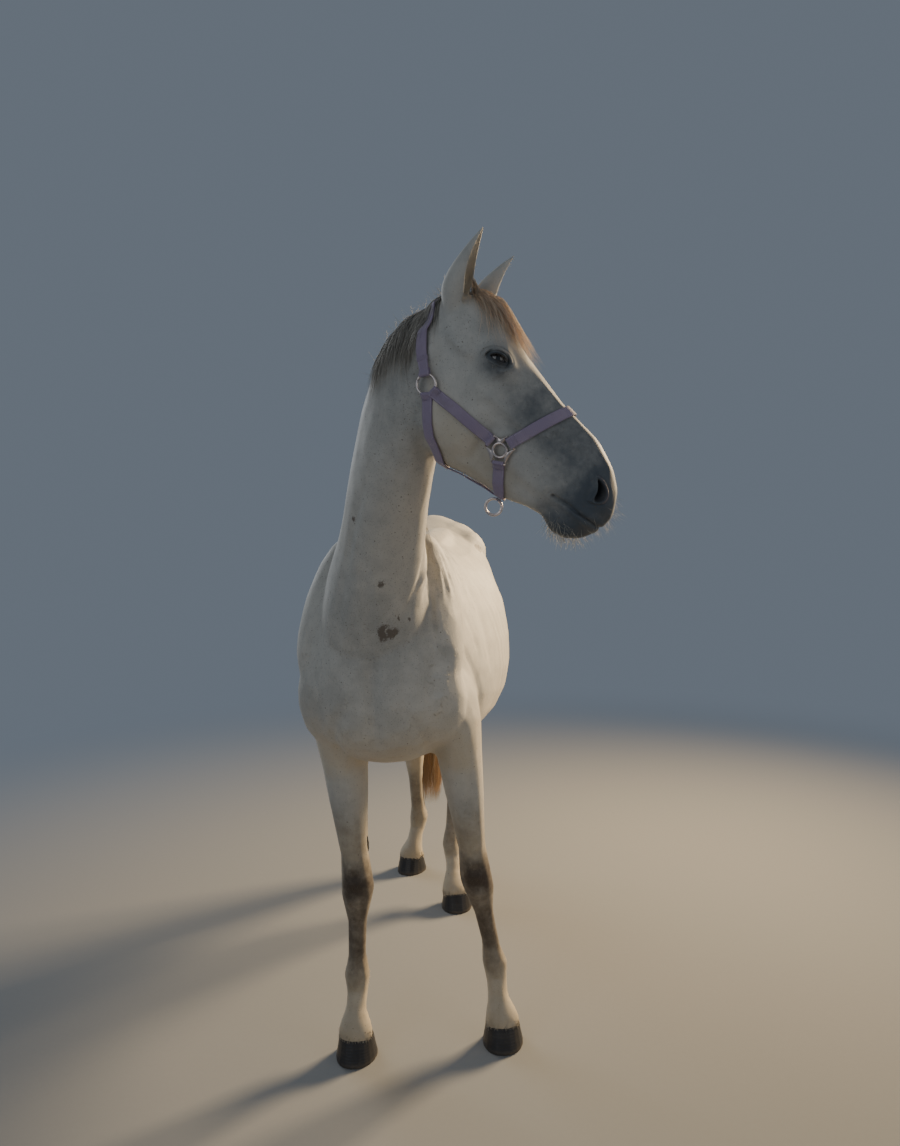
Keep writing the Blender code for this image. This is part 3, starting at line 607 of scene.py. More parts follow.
lowerRelief = [
    ([(420, -12, 30), (330, -10, 30), (255, -10, 30)], -5.5, 6.5),
    ([(420, -12, -30), (330, -10, -30), (255, -10, -30)], -5.5, 6.5),
    ([(400, 22, 16), (330, 22, 14), (260, 20, 14)], -1.6, 6),
    ([(400, 22, -16), (330, 22, -14), (260, 20, -14)], -1.6, 6),
    ([(235, 30, 10), (205, 36, 0), (190, 34, -8)], 1.8, 9),
    ([(400, -40, 0), (320, -40, 0), (260, -44, 0)], 1.5, 9),
    ([(212, -38, 20)], 3.5, 12),
    ([(212, -38, -20)], 3.5, 12),
    ([(218, 10, 36)], 2, 16),
    ([(218, 10, -36)], 2, 16),
    ([(180, 30, -20), (182, 36, 0), (180, 30, 20)], -2, 10),
    ([(150, -30, 0), (120, -30, 0)], -3, 12),
]
mouthLine = [
    (0.574, -0.106, 0), (0.568, -0.107, 0.022), (0.545, -0.112, 0.044),
    (0.51, -0.122, 0.053), (0.48, -0.131, 0.052), (0.456, -0.137, 0.05),
]
wrinkle = [(0.462, -0.128, 0.05), (0.456, -0.138, 0.05), (0.46, -0.15, 0.05)]


def metres(*tables):
    # The rows of the tables, from millimetres to metres.
    for rows, rise, width in sum(tables, []):
        yield np.array(rows) / 1000, rise / 1000, width / 1000


def eyeFrame(sign):
    # The eye's middle, the way to its front corner, its up and the way it looks.
    along, out, left = skinPlan["eyePlace"]
    look = (headLeft * sign * 0.93 + faceOut * 0.26 + faceAxis * 0.2).normalized()
    slant = math.radians(19)
    corner = headHeading * math.cos(slant) + down * math.sin(slant)
    corner = (corner - look * corner.dot(look)).normalized()
    up = look.cross(corner) * sign
    if up.z < 0:
        up = -up
    return headPoint(along, out, sign * left), corner, up.normalized(), look


lidPlan = {"half": 0.018, "upper": 0.0078, "lower": 0.0058, "reach": 0.055, "snap": 0.0009}


def lidEdge(share, upper):
    # Height of a lid's edge at a share of the way from the back corner, -1, to the front, 1.
    curve = np.clip(1 - np.abs(share) ** 2.2, 0, 1) ** 0.75
    tilt = -0.0012 * share
    if upper:
        return lidPlan["upper"] * curve * (1 + 0.12 * share) + tilt
    return -lidPlan["lower"] * curve + tilt


def eyeTerms(places, sign):
    # For points near an eye: which they are, how far they are from the lids' edges, if they
    # are inside, their place before it (to the front corner, up and out) and the closest edge.
    middle, corner, up, look = (np.array(item) for item in eyeFrame(sign))
    away = places - middle
    at = np.flatnonzero((np.linalg.norm(away, axis=1) < lidPlan["reach"]) & (away @ look > 0))
    a, b, c = (away[at] @ way for way in (corner, up, look))
    t = np.linspace(-1, 1, 61)
    half = lidPlan["half"]
    rim = np.vstack([np.c_[t * half, lidEdge(t, upper)] for upper in (True, False)])
    gaps = np.linalg.norm(np.c_[a, b][:, None] - rim[None], axis=2)
    share = np.clip(a / half, -1, 1)
    inside = (abs(a) < half) & (b < lidEdge(share, True)) & (b > lidEdge(share, False))
    return at, gaps.min(1), inside, (a, b, c), rim[gaps.argmin(1)]


# distance from the lid's edge, rise, width, and if the fold is on the upper lid
lidFolds = [
    (0.0068, -0.0042, 0.0016, True),
    (0.0034, 0.002, 0.002, True),
    (0.0112, 0.0034, 0.003, True),
    (0.0165, -0.0026, 0.0022, True),
    (0.003, 0.0012, 0.0016, False),
    (0.0062, -0.0014, 0.0013, False),
    (0.01, -0.001, 0.0015, False),
]


def carveEye(clay, sign):
    # Pushes the skin into an eyelid over the eyeball, with an opening and its folds.
    middle, corner, up, look = (np.array(item) for item in eyeFrame(sign))
    radius = skinPlan["eyeRadius"]
    at, gap, inside, (a, b, c), closest = eyeTerms(clay.places, sign)
    # points close to the edge go onto it, so that the rim is clean
    snap = gap < lidPlan["snap"]
    a[snap], b[snap] = closest[snap, 0], closest[snap, 1]
    inside[snap] = False
    above = ease(b, -0.004, 0.006)
    shell = np.sqrt(np.maximum((radius + skinPlan["lid"]) ** 2 - a**2 - b**2, 0.00004))
    hold = 1 - ease(gap, 0.004 + 0.003 * above, 0.018)
    outer = c * (1 - hold) + shell * hold
    for offset, size, wide, upper in lidFolds:
        outer = outer + size * (above if upper else 1 - above) * hill(gap, offset, wide)
    hidden = np.sqrt(np.maximum((radius - 0.004) ** 2 - a**2 - b**2, 0))
    depth = np.where(inside, hidden, outer)
    clay.places[at] = middle + a[:, None] * corner + b[:, None] * up + depth[:, None] * look


nostrilPlan = {
    "place": (0.512, -0.056, 0.058),
    "long": 0.0235,
    "short": 0.0086,
    "depth": 0.024,
    "rim": 0.0035,
    "reach": (0.05, 0.06),                      # out of the skin, and along the opening
}


def nostrilFrame(sign):
    along, out, left = nostrilPlan["place"]
    middle = headPoint(along, out, sign * left)
    out = (headLeft * sign * 0.8 + faceAxis * 0.52 + faceOut * 0.3).normalized()
    long = faceAxis * 0.7 - faceOut * 0.72
    long = (long - out * long.dot(out)).normalized()
    short = out.cross(long)
    if short.dot(faceOut) < 0:
        short = -short                          # towards the front of the nose
    return middle, long, short, out


def nostrilTerms(places, sign):
    # How far points are from the edge of the opening, below 0 inside, their share across,
    # and the way out.
    middle, long, short, out = (np.array(item) for item in nostrilFrame(sign))
    a, b, c = ((places - middle) @ way for way in (long, short, out))
    half = nostrilPlan["long"]
    bend = b - 0.007 * (1 - (a / half) ** 2) + 0.002
    wide = nostrilPlan["short"] * (1 + 0.35 * np.clip(a / half, -1, 1))
    reach = np.sqrt((a / half) ** 2 + (bend / wide) ** 2)
    gap = (reach - 1) * wide + np.maximum(0, np.abs(a) - half)
    far = (np.abs(c) > nostrilPlan["reach"][0]) | (np.abs(a) > nostrilPlan["reach"][1])
    return np.where(far, 1, gap), bend / wide, out


def carveNostril(clay, sign):
    gap, share, out = nostrilTerms(clay.places, sign)
    at = np.flatnonzero(gap < 0.02)
    gap, share = gap[at], share[at]
    inner = ease(-gap, -0.0005, 0.0055)
    rim = nostrilPlan["rim"] * hill(gap, 0.0022, 0.0032)
    rim *= 1 + 0.5 * ease(share, -0.5, 1)
    hollow = -ease(gap, 0.004, 0.01) * (1 - ease(gap, 0.01, 0.019)) * 0.0018
    way = -out * 0.86 - np.array(faceAxis) * 0.5
    clay.places[at] += way * (inner * nostrilPlan["depth"])[:, None]
    clay.places[at] += clay.normals[at] * ((rim + hollow) * (1 - inner))[:, None]


coronet = {
    "top": 0.15,
    "level": 0.08,
    "low": 0.09,                                # all of the widening is below this
    "reach": 0.09,                              # how far from the middle of the hoof it goes
    "drop": 0.019,
    "over": 0.0022,
}


def flareCoronet(clay, leg):
    # Widens the lowest part of a leg until it hangs a little over the top of its hoof.
    hoof = copied("hoof_" + leg + "_shape", ["hoof_" + leg])
    tree = treeOf(hoof)
    middle = legMiddle(leg, coronet["level"])
    rim = middle - Vector((0, 0, 0.008))
    away = clay.places - np.array(middle)
    flat = np.hypot(away[:, 0], away[:, 1])
    low = (clay.places[:, 2] < coronet["top"]) & (flat < coronet["reach"])
    for i in np.flatnonzero(low):
        place = Vector(clay.places[i])
        axis = legMiddle(leg, max(place.z, 0.088))
        way = Vector((place.x - axis.x, place.y - axis.y, 0))
        radius = way.length
        if radius < 0.005:
            clay.places[i, 2] -= coronet["drop"]
            continue
        way.normalize()
        wide = radius
        hit = tree.ray_cast(rim + way * 0.15, -way, 0.15)[0]
        if hit:
            wide = (hit - Vector((axis.x, axis.y, hit.z))).dot(way) + coronet["over"]
        share = float(ease(-place.z, -coronet["top"], -coronet["low"])) ** 1.5
        place += way * max(0, wide - radius) * share * min(1, radius / 0.024)
        place.z -= coronet["drop"] * share
        clay.places[i] = place
    bpy.data.objects.remove(hoof)


def refine(piece, spots, reaches):
    # Halves the faces near the spots.
    with opened(piece.data) as bm:
        for vert in bm.verts:
            vert.tag = any((vert.co - spot).length < far for spot, far in zip(spots, reaches))
        edges = [edge for edge in bm.edges if edge.verts[0].tag and edge.verts[1].tag]
        bmesh.ops.subdivide_edges(bm, edges=edges, cuts=1, use_grid_fill=True)


def remesh(piece, plan):
    changed(piece, "REMESH", mode="VOXEL", voxel_size=plan["voxel"])
    changed(piece, "SMOOTH", factor=0.5, iterations=plan["smoothTurns"])


def bodyStroke(clay, rows, rise, width, sign=1):
    clay.stroke([bodyPoint(sign * a, b, c) for a, b, c in rows], rise, width)


def buildSkin():
    skin = copied("skin", fleshNodes)
    with opened(skin.data) as bm:
        for sign in (1, -1):
            place = Matrix.Translation(eyeFrame(sign)[0])
            radius = skinPlan["eyeRadius"] + 0.0025
            bmesh.ops.create_icosphere(bm, subdivisions=3, radius=radius, matrix=place)
    remesh(skin, skinPlan)
    print("skin: remeshed,", len(skin.data.polygons), "faces")
    eyes = [eyeFrame(sign)[0] for sign in (1, -1)]
    noses = [nostrilFrame(sign)[0] for sign in (1, -1)]
    muzzle = [headPoint(0.5, -0.09)]
    refine(skin, eyes + noses + muzzle, (0.07, 0.07, 0.06, 0.06, 0.125))
    refine(skin, eyes + noses, (0.04, 0.04, 0.036, 0.036))
    clay = Clay(skin)
    onLeg = ease(-clay.places[:, 2], -0.88, -0.72)[:, None]
    clay.places -= clay.normals * (skinPlan["depth"] - skinPlan["legRise"] * onLeg)
    for rows, rise, width in metres(trunkRelief):
        for sign in (1, -1):
            bodyStroke(clay, rows, rise, width, sign)
    for rows, rise, width in metres(ownRelief):
        bodyStroke(clay, rows, rise, width)
    for k in range(ribPlan["count"]):
        y = ribPlan["first"] + ribPlan["apart"] * k
        rows = [(0.2, y - 0.02, 1.38), (0.31, y + 0.03, 1.12), (0.25, y - 0.01, 0.88)]
        for sign in (1, -1):
            bodyStroke(clay, rows, ribPlan["rise"], ribPlan["width"], sign)
    for rows, rise, width in metres(headRelief):
        for path in bothSides(rows):
            clay.stroke(path, rise, width)
    for leg in legs:
        toe, side = legFrame(leg)
        inner = -1 if leg.endswith("left") else 1
        own = hindRelief if leg.startswith("hind") else foreRelief
        for rows, rise, width in metres(own, lowerRelief):
            path = []
            for height, ahead, across in rows:
                spot = legMiddle(leg, height)
                path.append(spot + toe * ahead * 1.15 - side * across * inner)
            clay.stroke(path, rise, width)
    clay.settle()
    for path in bothSides(mouthLine):
        clay.stroke(path, -0.005, 0.0032, 0.02)
        for shift, rise in ((0.01, 0.0022), (-0.01, 0.002)):
            clay.stroke([spot + faceOut * shift for spot in path], rise, 0.007)
    for k, shift in enumerate((0.01, 0.018, 0.026)):
        for path in bothSides([(a - shift, b, c) for a, b, c in wrinkle]):
            clay.stroke(path, -0.0014 + 0.0003 * k, 0.0026)
    clay.settle()
    for sign in (1, -1):
        carveNostril(clay, sign)
        carveEye(clay, sign)
    for leg in legs:
        flareCoronet(clay, leg)
    clay.settle()
    thinSkin(skin)
    print("skin: shaped,", len(skin.data.polygons), "faces")
    return skin


def thinSkin(skin):
    # Fewer triangles on the trunk and legs, none lost on the head.
    away = readPlaces(skin.data) - np.array(headPoint(0.27, -0.1))
    loss = np.round(ease(np.linalg.norm(away, axis=1), 0.3, 0.42) * 10)
    group = skin.vertex_groups.new(name="thin")
    for level in range(1, 11):
        group.add(np.flatnonzero(loss == level).tolist(), level / 10, "REPLACE")
    count = sum(len(face.vertices) - 2 for face in skin.data.polygons)
    ratio = min(1, skinPlan["triangles"] / count)
    changed(skin, "DECIMATE", ratio=ratio, vertex_group="thin", vertex_group_factor=1)
    skin.vertex_groups.clear()


earPlan = {
    "left": ((0.03, -0.026, 0.05), (-0.01, 0.118, 0.072)),      # base and tip
    "right": ((0.022, -0.034, -0.05), (-0.055, 0.1, -0.078)),
    "steps": 15,
    "wall": 0.004,
    "back": {"left": -0.004, "right": 0.02},    # how far the base lies behind the line
    "aim": {"left": 0.25, "right": -0.05},      # how far the opening looks to the left
}
# share of the length, half width, how far round the wall goes from the back, in degrees
earRows = [
    (-0.2, 0.026, 158), (0, 0.034, 155), (0.18, 0.039, 138), (0.38, 0.038, 118),
    (0.6, 0.029, 105), (0.8, 0.0175, 98), (0.93, 0.008, 95), (1, 0.003, 92),
]


def addEar(bm, side):
    base, tip = (headPoint(*spot) for spot in earPlan[side])
    along = tip - base
    back = -(faceAxis * 0.75 + faceOut * 0.45 + headLeft * earPlan["aim"][side])
    back = (back - along * back.dot(along) / along.length_squared).normalized()
    across = along.normalized().cross(back)
    rings = []
    for share, half, reach in smoothRows(earRows, 5):
        bulge = earPlan["back"][side] * (1 - share) * float(ease(share, -0.35, 0.22))
        middle = base + along * share + back * bulge
        points = []
        for inner in (False, True):
            for k in range(2 * earPlan["steps"] + 1):
                turn = k / earPlan["steps"] - 1
                angle = math.radians(reach) * (-turn if inner else turn)
                wall = min(earPlan["wall"], half * 0.7) * (1 - 0.55 * abs(turn) ** 3)
                ridge = 0.0012 * math.cos(turn * 9) * (1 - abs(turn))
                radius = half - wall + ridge if inner else half
                curl = 1 - 0.1 * abs(turn) ** 4
                way = back * math.cos(angle) * 0.8 + across * math.sin(angle) * curl
                points.append(middle + way * radius)
        rings.append(points)
    loft(bm, rings)


def soften(bm, verts, turns=1):
    axes = {"use_axis_x": True, "use_axis_y": True, "use_axis_z": True}
    for turn in range(turns):
        bmesh.ops.smooth_vert(bm, verts=list(verts), factor=0.5, **axes)


def joinEars(skin):
    # The ears, joined to the skin and smoothed where they meet it.
    skin.data.attributes.new("onEar", "INT", "FACE")
    for side in sides:
        bm = bmesh.new()
        addEar(bm, side)
        # extruding leaves the faces in a chance order, which would move the hair on each run
        bm.verts.index_update()
        bm.faces.sort(key=lambda face: sum(vert.index**1.5 for vert in face.verts))
        ear = fromShape("ear_shape", bm)
        mark = ear.data.attributes.new("onEar", "INT", "FACE")
        mark.data.foreach_set("value", np.ones(len(ear.data.polygons), dtype=np.int32))
        changed(skin, "BOOLEAN", operation="UNION", solver="MANIFOLD", object=ear)
        bpy.data.objects.remove(ear)
    with opened(skin.data) as bm:
        layer = bm.faces.layers.int["onEar"]
        seam = {vert for vert in bm.verts if len({face[layer] for face in vert.link_faces}) == 2}
        for turns in (9, 5, 4):
            soften(bm, seam)
            seam |= {edge.other_vert(vert) for vert in seam for edge in vert.link_edges}
            soften(bm, seam, turns)
        cutManySided(bm)
    skin.data.shade_smooth()
    print("ears: joined,", len(skin.data.vertices), "corners")


skin = buildSkin()
joinEars(skin)

# places of the neck's crest, from the withers to the poll, and of its throat line
crestRows = [
    (0, 0.13, 1.5), (0, 0.06, 1.528), (0.002, -0.04, 1.572), (0.018, -0.165, 1.658),
    (0.038, -0.285, 1.775), (0.078, -0.38, 1.885), (0.145, -0.447, 1.968), (0.232, -0.484, 2),
    (0.285, -0.492, 2.022),
]
throatRows = [
    (0, -0.15, 0.94), (0, -0.215, 1.05), (0.008, -0.266, 1.19), (0.056, -0.322, 1.35),
    (0.106, -0.395, 1.5), (0.156, -0.458, 1.62), (0.2, -0.48, 1.705), (0.262, -0.487, 1.77),
]
crest, throat = (
    np.array([bodyPoint(*row) for row in smoothRows(rows, 5)]) for rows in (crestRows, throatRows)
)
regions = fleshNodes[:3] + earNodes + legNodes
# where the flea-bitten flecks run together, and how far
patches = [
    ((-0.098, -0.652, 1.252), 0.03),
    ((-0.078, -0.65, 1.25), 0.026),
    ((-0.105, -0.644, 1.219), 0.015),
    ((-0.148, -0.756, 1.537), 0.014),
    ((-0.093, -0.71, 1.377), 0.016),
    ((-0.06, -0.648, 1.282), 0.012),
    ((-0.037, -0.631, 1.284), 0.012),
    ((-0.045, -0.64, 1.22), 0.01),
    ((-0.09, -0.64, 1.16), 0.016),
    ((-0.125, -0.64, 1.1), 0.014),
    ((0.071, 0.373, 1.39), 0.03),
]


def regionOf(places):
    # Which node each place is nearest to, by its number in regions.
    corners, faces, owner = [], [], []
    for number, node in enumerate(regions):
        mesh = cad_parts[node].data
        first = len(corners)
        corners += [vert.co.copy() for vert in mesh.vertices]
        faces += [[first + k for k in face.vertices] for face in mesh.polygons]
        owner += [number] * len(mesh.polygons)
    tree = BVHTree.FromPolygons(corners, faces)
    return np.array([owner[tree.find_nearest(Vector(place))[2]] for place in places])


def spread(values, mesh, turns):
    # Averages values over neighbouring corners, some times over.
    one, two = readEdges(mesh)
    count = len(values)
    around = np.bincount(one, minlength=count) + np.bincount(two, minlength=count)
    for turn in range(turns):
        total = [
            np.bincount(one, row[two], count) + np.bincount(two, row[one], count)
            for row in values.T
        ]
        values = values * 0.4 + 0.6 * np.transpose(total) / np.maximum(around, 1)[:, None]
    return values


class Coat:
    # For every corner of the skin: its region, the lie of the hair, and its markings.
    def __init__(self, skin):
        mesh = skin.data
        self.mesh = mesh
        self.places = readPlaces(mesh)
        self.normals = readNormals(mesh)
        self.region = regionOf(self.places)
        self.lie = self.hairLie()
        self.marks, self.spots = self.markings()
        paint(mesh, "marks", self.marks)
        paint(mesh, "spots", self.spots)
        mesh.calc_loop_triangles()
        self.corners = read(mesh.loop_triangles, "vertices", 3, np.int32)
        a, b, c = (self.places[self.corners[:, k]] for k in range(3))
        self.areas = np.linalg.norm(np.cross(b - a, c - a), axis=1) / 2

    def isIn(self, *words):
        picked = [k for k, node in enumerate(regions) if any(word in node for word in words)]
        return np.isin(self.region, picked)

    def hairLie(self):
        lie = np.zeros_like(self.places)
        lie[self.isIn("head")] = faceAxis * 0.85 + down * 0.25
        lie[self.isIn("trunk")] = Vector((0, 0.85, -0.5))
        lie[self.isIn("leg")] = Vector((0, 0.12, -1))
        middle = (crest[: len(throat)] + throat) / 2
        neck = self.isIn("neck")
        share = awayFrom(self.places[neck], middle)[1]
        ways = unit(np.gradient(middle, axis=0))
        lie[neck] = -ways[np.round(share * (len(middle) - 1)).astype(int)] + np.array(down) * 0.5
        for side in sides:
            base, tip = (headPoint(*spot) for spot in earPlan[side])
            lie[self.isIn("ear_" + side)] = tip - base
        lie = spread(unit(lie), self.mesh, 30)
        lie -= self.normals * (lie * self.normals).sum(1)[:, None]
        return unit(lie)

    def markings(self):
        places, height = self.places, self.places[:, 2]
        along, out = headTerms(places)[:2]
        head, neck, trunk, leg, ear, front = (
            self.isIn(word) * 1.0 for word in ("head", "neck", "trunk", "leg", "ear", "front")
        )
        aside = abs(places[:, 0] + bodyShift.x)
        breast = near(places, (-0.1, -0.64, 1.22), 0.16)
        pastern = leg * ease(-height, -0.19, -0.13)

        # dark skin that shows through, above all on the muzzle and round the eyes, and painted
        # shade on the front of the face, the upper legs and under the belly
        muzzle = head * ease(along + 0.25 * out, 0.33, 0.5)
        # the front of the face is darker and the cheeks lighter: partly the coat's own tone,
        # partly painted shade on the front of the face and painted light on the cheeks
        face = ease(along, 0.13, 0.3) * ease(out, -0.17, -0.06)
        dark = most(0.95 * muzzle, head * (0.26 + 0.42 * face))
        cheek = sum(near(places, headPoint(0.16, -0.2, sign * 0.07), 0.11) for sign in (-1, 1))
        dark = dark * (1 - 0.5 * np.clip(cheek, 0, 1))
        bare = head * ease(along, 0.53, 0.575) * 0.35
        for sign in (1, -1):
            at, gap, inside = eyeTerms(places, sign)[:3]
            dark[at] = most(dark[at], 0.97 * hill(gap, 0, 0.011))
            bare[at] = most(bare[at], np.where(inside, 1, hill(gap, 0, 0.0026)))
            socket = near(places, headPoint(0.175, -0.045, sign * 0.08), 0.052)
            dark = most(dark, 0.78 * socket)
        # painted shade under the chest and belly near the midline, deeper further back
        bellyShade = trunk * ease(-aside, -0.12, -0.03) * ease(-height, -1, -0.86)
        knee = leg * hill(height, 0.58 - 0.08 * front, 0.075) * (0.7 + 0.3 * front)
        cannon = leg * ease(height, 0.13, 0.3) * ease(-height, -0.52, -0.4)
        dark = most(
            dark,
            neck * (0.22 + 0.16 * ease(height, 1.55, 1.85)),
            0.95 * knee,
            0.52 * leg * hill(height, 0.215, 0.045),
            0.74 * cannon * (0.75 + 0.25 * front),
            # painted shade at the top of the legs, under the trunk
            0.46 * leg * hill(height, 0.66, 0.13),
            0.55 * bellyShade * ease(places[:, 1], -0.35, 0.4),
            0.25 * ear,
            0.3 * breast * (neck + trunk),
            0.3 * pastern,
        )

        # yellowish hair, on the belly and the legs
        warm = head * ease(-out, 0.13, 0.2) * ease(-along, -0.46, -0.36) * 0.55
        warm += trunk * (0.22 + 0.5 * ease(-height, -1.05, -0.85)) + neck * 0.22
        warm += leg * (0.25 + 0.5 * ease(-height, -0.75, -0.62))
        warm = most(warm, pastern * 0.8, ear * 0.2)

        # bare skin and the pink rims of the nostrils
        pink = np.zeros(len(places))
        for sign in (1, -1):
            gap, share = nostrilTerms(places, sign)[:2]
            bare = most(bare, ease(-gap, -0.0015, 0.0015))
            pink = most(pink, 0.34 * hill(gap, 0.004, 0.0048) * ease(share, 0.3, 1.4))
        left, right = bothSides(mouthLine)
        lips = awayFrom(places, np.array(left + right[::-1]))[0]
        bare = most(bare, 0.75 * hill(lips, 0, 0.0035))

        flecked = head * (0.22 + 0.6 * near(places, headPoint(0.09, -0.05, -0.08), 0.07))
        flecked += head * 0.25 * near(places, headPoint(0.22, -0.15, -0.07), 0.08)
        flecked += neck * 0.8 + trunk * 0.4 + leg * 0.22 + ear * 0.1 + 0.3 * breast
        patch = most(*(1.15 * near(places, spot, reach) for spot, reach in patches))
        marks = np.clip(np.c_[dark, warm, pink], 0, 1)
        spots = np.clip(np.c_[flecked, bare, patch], 0, 1)
        marks[:, :2] = spread(marks[:, :2], self.mesh, 6)
        spots[:, :1] = spread(spots[:, :1], self.mesh, 12)
        return marks, spots

    def roots(self, count, weight, seed):
        # Random places on the skin, more where the weight is high.
        rng = np.random.default_rng(seed)
        chance = self.areas * weight[self.corners].mean(1)
        picked = rng.choice(len(chance), count, p=chance / chance.sum())
        shares = rng.dirichlet((1, 1, 1), count)[:, :, None]
        corners = self.corners[picked]
        made = {"rng": rng}
        for name in ("places", "normals", "lie", "marks", "spots"):
            made[name] = (getattr(self, name)[corners] * shares).sum(1)
        made["normals"] = unit(made["normals"])
        made["lie"] = unit(made["lie"])
        return made


coat = Coat(skin)
keep(skin, "coat", *fleshNodes, *earNodes)
dress(skin.data, coatLook("coat", 0.0008))
print("coat: markings and lie of the hair")


class Unwrap:
    # An unwrap of the skin's own shape, on a lighter copy of it.
    def __init__(self, skin):
        copy = link("unwrapped", skin.data.copy())
        changed(copy, "DECIMATE", ratio=0.06)
        bpy.context.view_layer.objects.active = copy
        copy.select_set(True)
        bpy.ops.object.mode_set(mode="EDIT")
        bpy.ops.mesh.select_all(action="SELECT")
        bpy.ops.uv.smart_project(angle_limit=math.radians(66), island_margin=0.004)
        bpy.ops.object.mode_set(mode="OBJECT")
        mesh = copy.data
        corners = [vert.co.copy() for vert in mesh.vertices]
        layer = mesh.uv_layers.active.data
        self.corners = [[corners[k] for k in face.vertices] for face in mesh.polygons]
        self.spots = [[layer[k].uv.copy() for k in face.loop_indices] for face in mesh.polygons]
        faces = [list(face.vertices) for face in mesh.polygons]
        self.tree = BVHTree.FromPolygons(corners, faces)
        bpy.data.objects.remove(copy)

    def spot(self, place):
        nearest, normal, face = self.tree.find_nearest(place)[:3]
        a, b, c = self.corners[face][:3]
        u, v, w = b - a, c - a, nearest - a
        uu, uv, vv, wu, wv = u.dot(u), u.dot(v), v.dot(v), w.dot(u), w.dot(v)
        under = max(1e-12, uu * vv - uv * uv)
        s, t = (wu * vv - wv * uv) / under, (wv * uu - wu * uv) / under
        p, q, r = self.spots[face][:3]
        return p + (q - p) * s + (r - p) * t


unwrap = Unwrap(skin)
print("unwrap: ready")


def lockShape(rows):
    # A pointed three-sided lock, standing from 0 to 1 on Z, with some rows of corners.
    bm = bmesh.new()
    plan = {"segments": 3, "radius1": 1, "radius2": 0, "depth": 1}
    place = Matrix.Translation((0, 0, 0.5))
    bmesh.ops.create_cone(bm, cap_ends=True, matrix=place, **plan)
    for k in range(1, rows):
        geom = bm.verts[:] + bm.edges[:] + bm.faces[:]
        bmesh.ops.bisect_plane(bm, geom=geom, plane_co=(0, 0, k / rows), plane_no=(0, 0, 1))
    bm.verts.ensure_lookup_table()
    corners = np.array([vert.co for vert in bm.verts])
    faces = [[vert.index for vert in face.verts] for face in bm.faces]
    bm.free()
    return corners, faces


lockPatch = 0.003                               # how much of the unwrap each lock takes up


def addLocks(name, look, paths, widths, flat, facing, tones, marks=None, spots=None):
    # One piece of many locks. paths is locks by rows by 3, facing is the way each lock's
    # flat side looks, tones is two numbers for each lock's own colour.
    count, rows = paths.shape[:2]
    corners, faces = lockShape(rows - 1)
    per = len(corners)
    level = np.round(corners[:, 2] * (rows - 1)).astype(int)
    flatLength = np.linalg.norm(corners[:, :2], axis=1, keepdims=True)
    ring = corners[:, :2] / np.maximum(flatLength, 1e-6)
    share = level / (rows - 1)
    ring[share > 0.999] = 0
    shape = (1 - share**2.2) * (0.75 + 0.5 * np.sin(np.pi * np.minimum(share * 1.2, 1)))
    ways = unit(np.gradient(paths, axis=1))
    out = facing[:, None, :] - ways * (facing[:, None, :] * ways).sum(2)[:, :, None]
    out = unit(out)
    side = np.cross(ways, out)
    radius = widths[:, None, None] * shape[None, :, None] / 2
    places = paths[:, level] + side[:, level] * radius * ring[None, :, :1]
    places += out[:, level] * radius * ring[None, :, 1:] * flat

    loops = np.concatenate(faces)
    starts = np.concatenate([[0], np.cumsum([len(face) for face in faces])[:-1]])
    turns = np.arange(count)[:, None]
    allLoops = (loops + turns * per).ravel()
    allStarts = (starts + turns * len(loops)).ravel()
    mesh = bpy.data.meshes.new(name)
    mesh.vertices.add(count * per)
    mesh.loops.add(len(allLoops))
    mesh.polygons.add(len(allStarts))
    mesh.vertices.foreach_set("co", places.reshape(-1))
    mesh.loops.foreach_set("vertex_index", allLoops.astype(np.int32))
    mesh.polygons.foreach_set("loop_start", allStarts.astype(np.int32))
    mesh.update(calc_edges=True)
    mesh.validate()
    piece = link(name, mesh, look)
    paint(mesh, "hair", np.c_[np.tile(share, count), np.repeat(tones, per, 0)])
    for key, values in (("marks", marks), ("spots", spots)):
        if values is not None:
            paint(mesh, key, np.repeat(values, per, 0))

    # each lock is a small patch of the skin's unwrap, where its root is
    where = np.array([unwrap.spot(Vector(root)) for root in paths[:, 0]])
    inPatch = np.c_[ring[:, 0] * 0.5, share - 0.5][None] * lockPatch
    flatUv = (where[:, None] + inPatch).reshape(-1, 2)
    uvs = mesh.uv_layers.new(name="OFBake")
    uvs.data.foreach_set("uv", np.clip(flatUv[allLoops], 0, 1).reshape(-1))
    print(name + ":", count, "locks")
    keep(piece, "hair" if marks is None else "coat")


skinTree = treeOf(skin)


def bentPaths(roots, ways, lengths, rows, bend, settle, reach):
    # Paths that start along the ways, bend at every row and are then settled on the skin.
    paths = np.empty((len(roots), rows, 3))
    paths[:, 0] = roots
    ways = unit(ways)
    for k in range(1, rows):
        t = k / (rows - 1)
        ways = unit(bend(ways, t))
        spots = paths[:, k - 1] + ways * (lengths / (rows - 1))[:, None]
        for i, spot in enumerate(spots):
            place, normal = skinTree.find_nearest(Vector(spot), reach)[:2]
            if place is not None:
                height = (Vector(spot) - place).dot(normal)
                spots[i] += settle(i, t, height, np.array(normal))
        ways = unit(spots - paths[:, k - 1])
        paths[:, k] = spots
    return paths


def fallPaths(roots, ways, lengths, rows, rng, fall, gap, wander):
    # Paths of hairs that leave the skin along their ways, bend down and rest on the skin.
    count = len(roots)
    sway = rng.normal(0, wander, (count, 3))
    gaps = gap * (0.4 + rng.random(count) * 1.2)

    def bend(ways, t):
        return ways + np.array(down) * fall + sway

    def settle(i, t, height, normal):
        return normal * max(0, gaps[i] - height)

    return bentPaths(roots, ways, lengths, rows, bend, settle, 0.08)


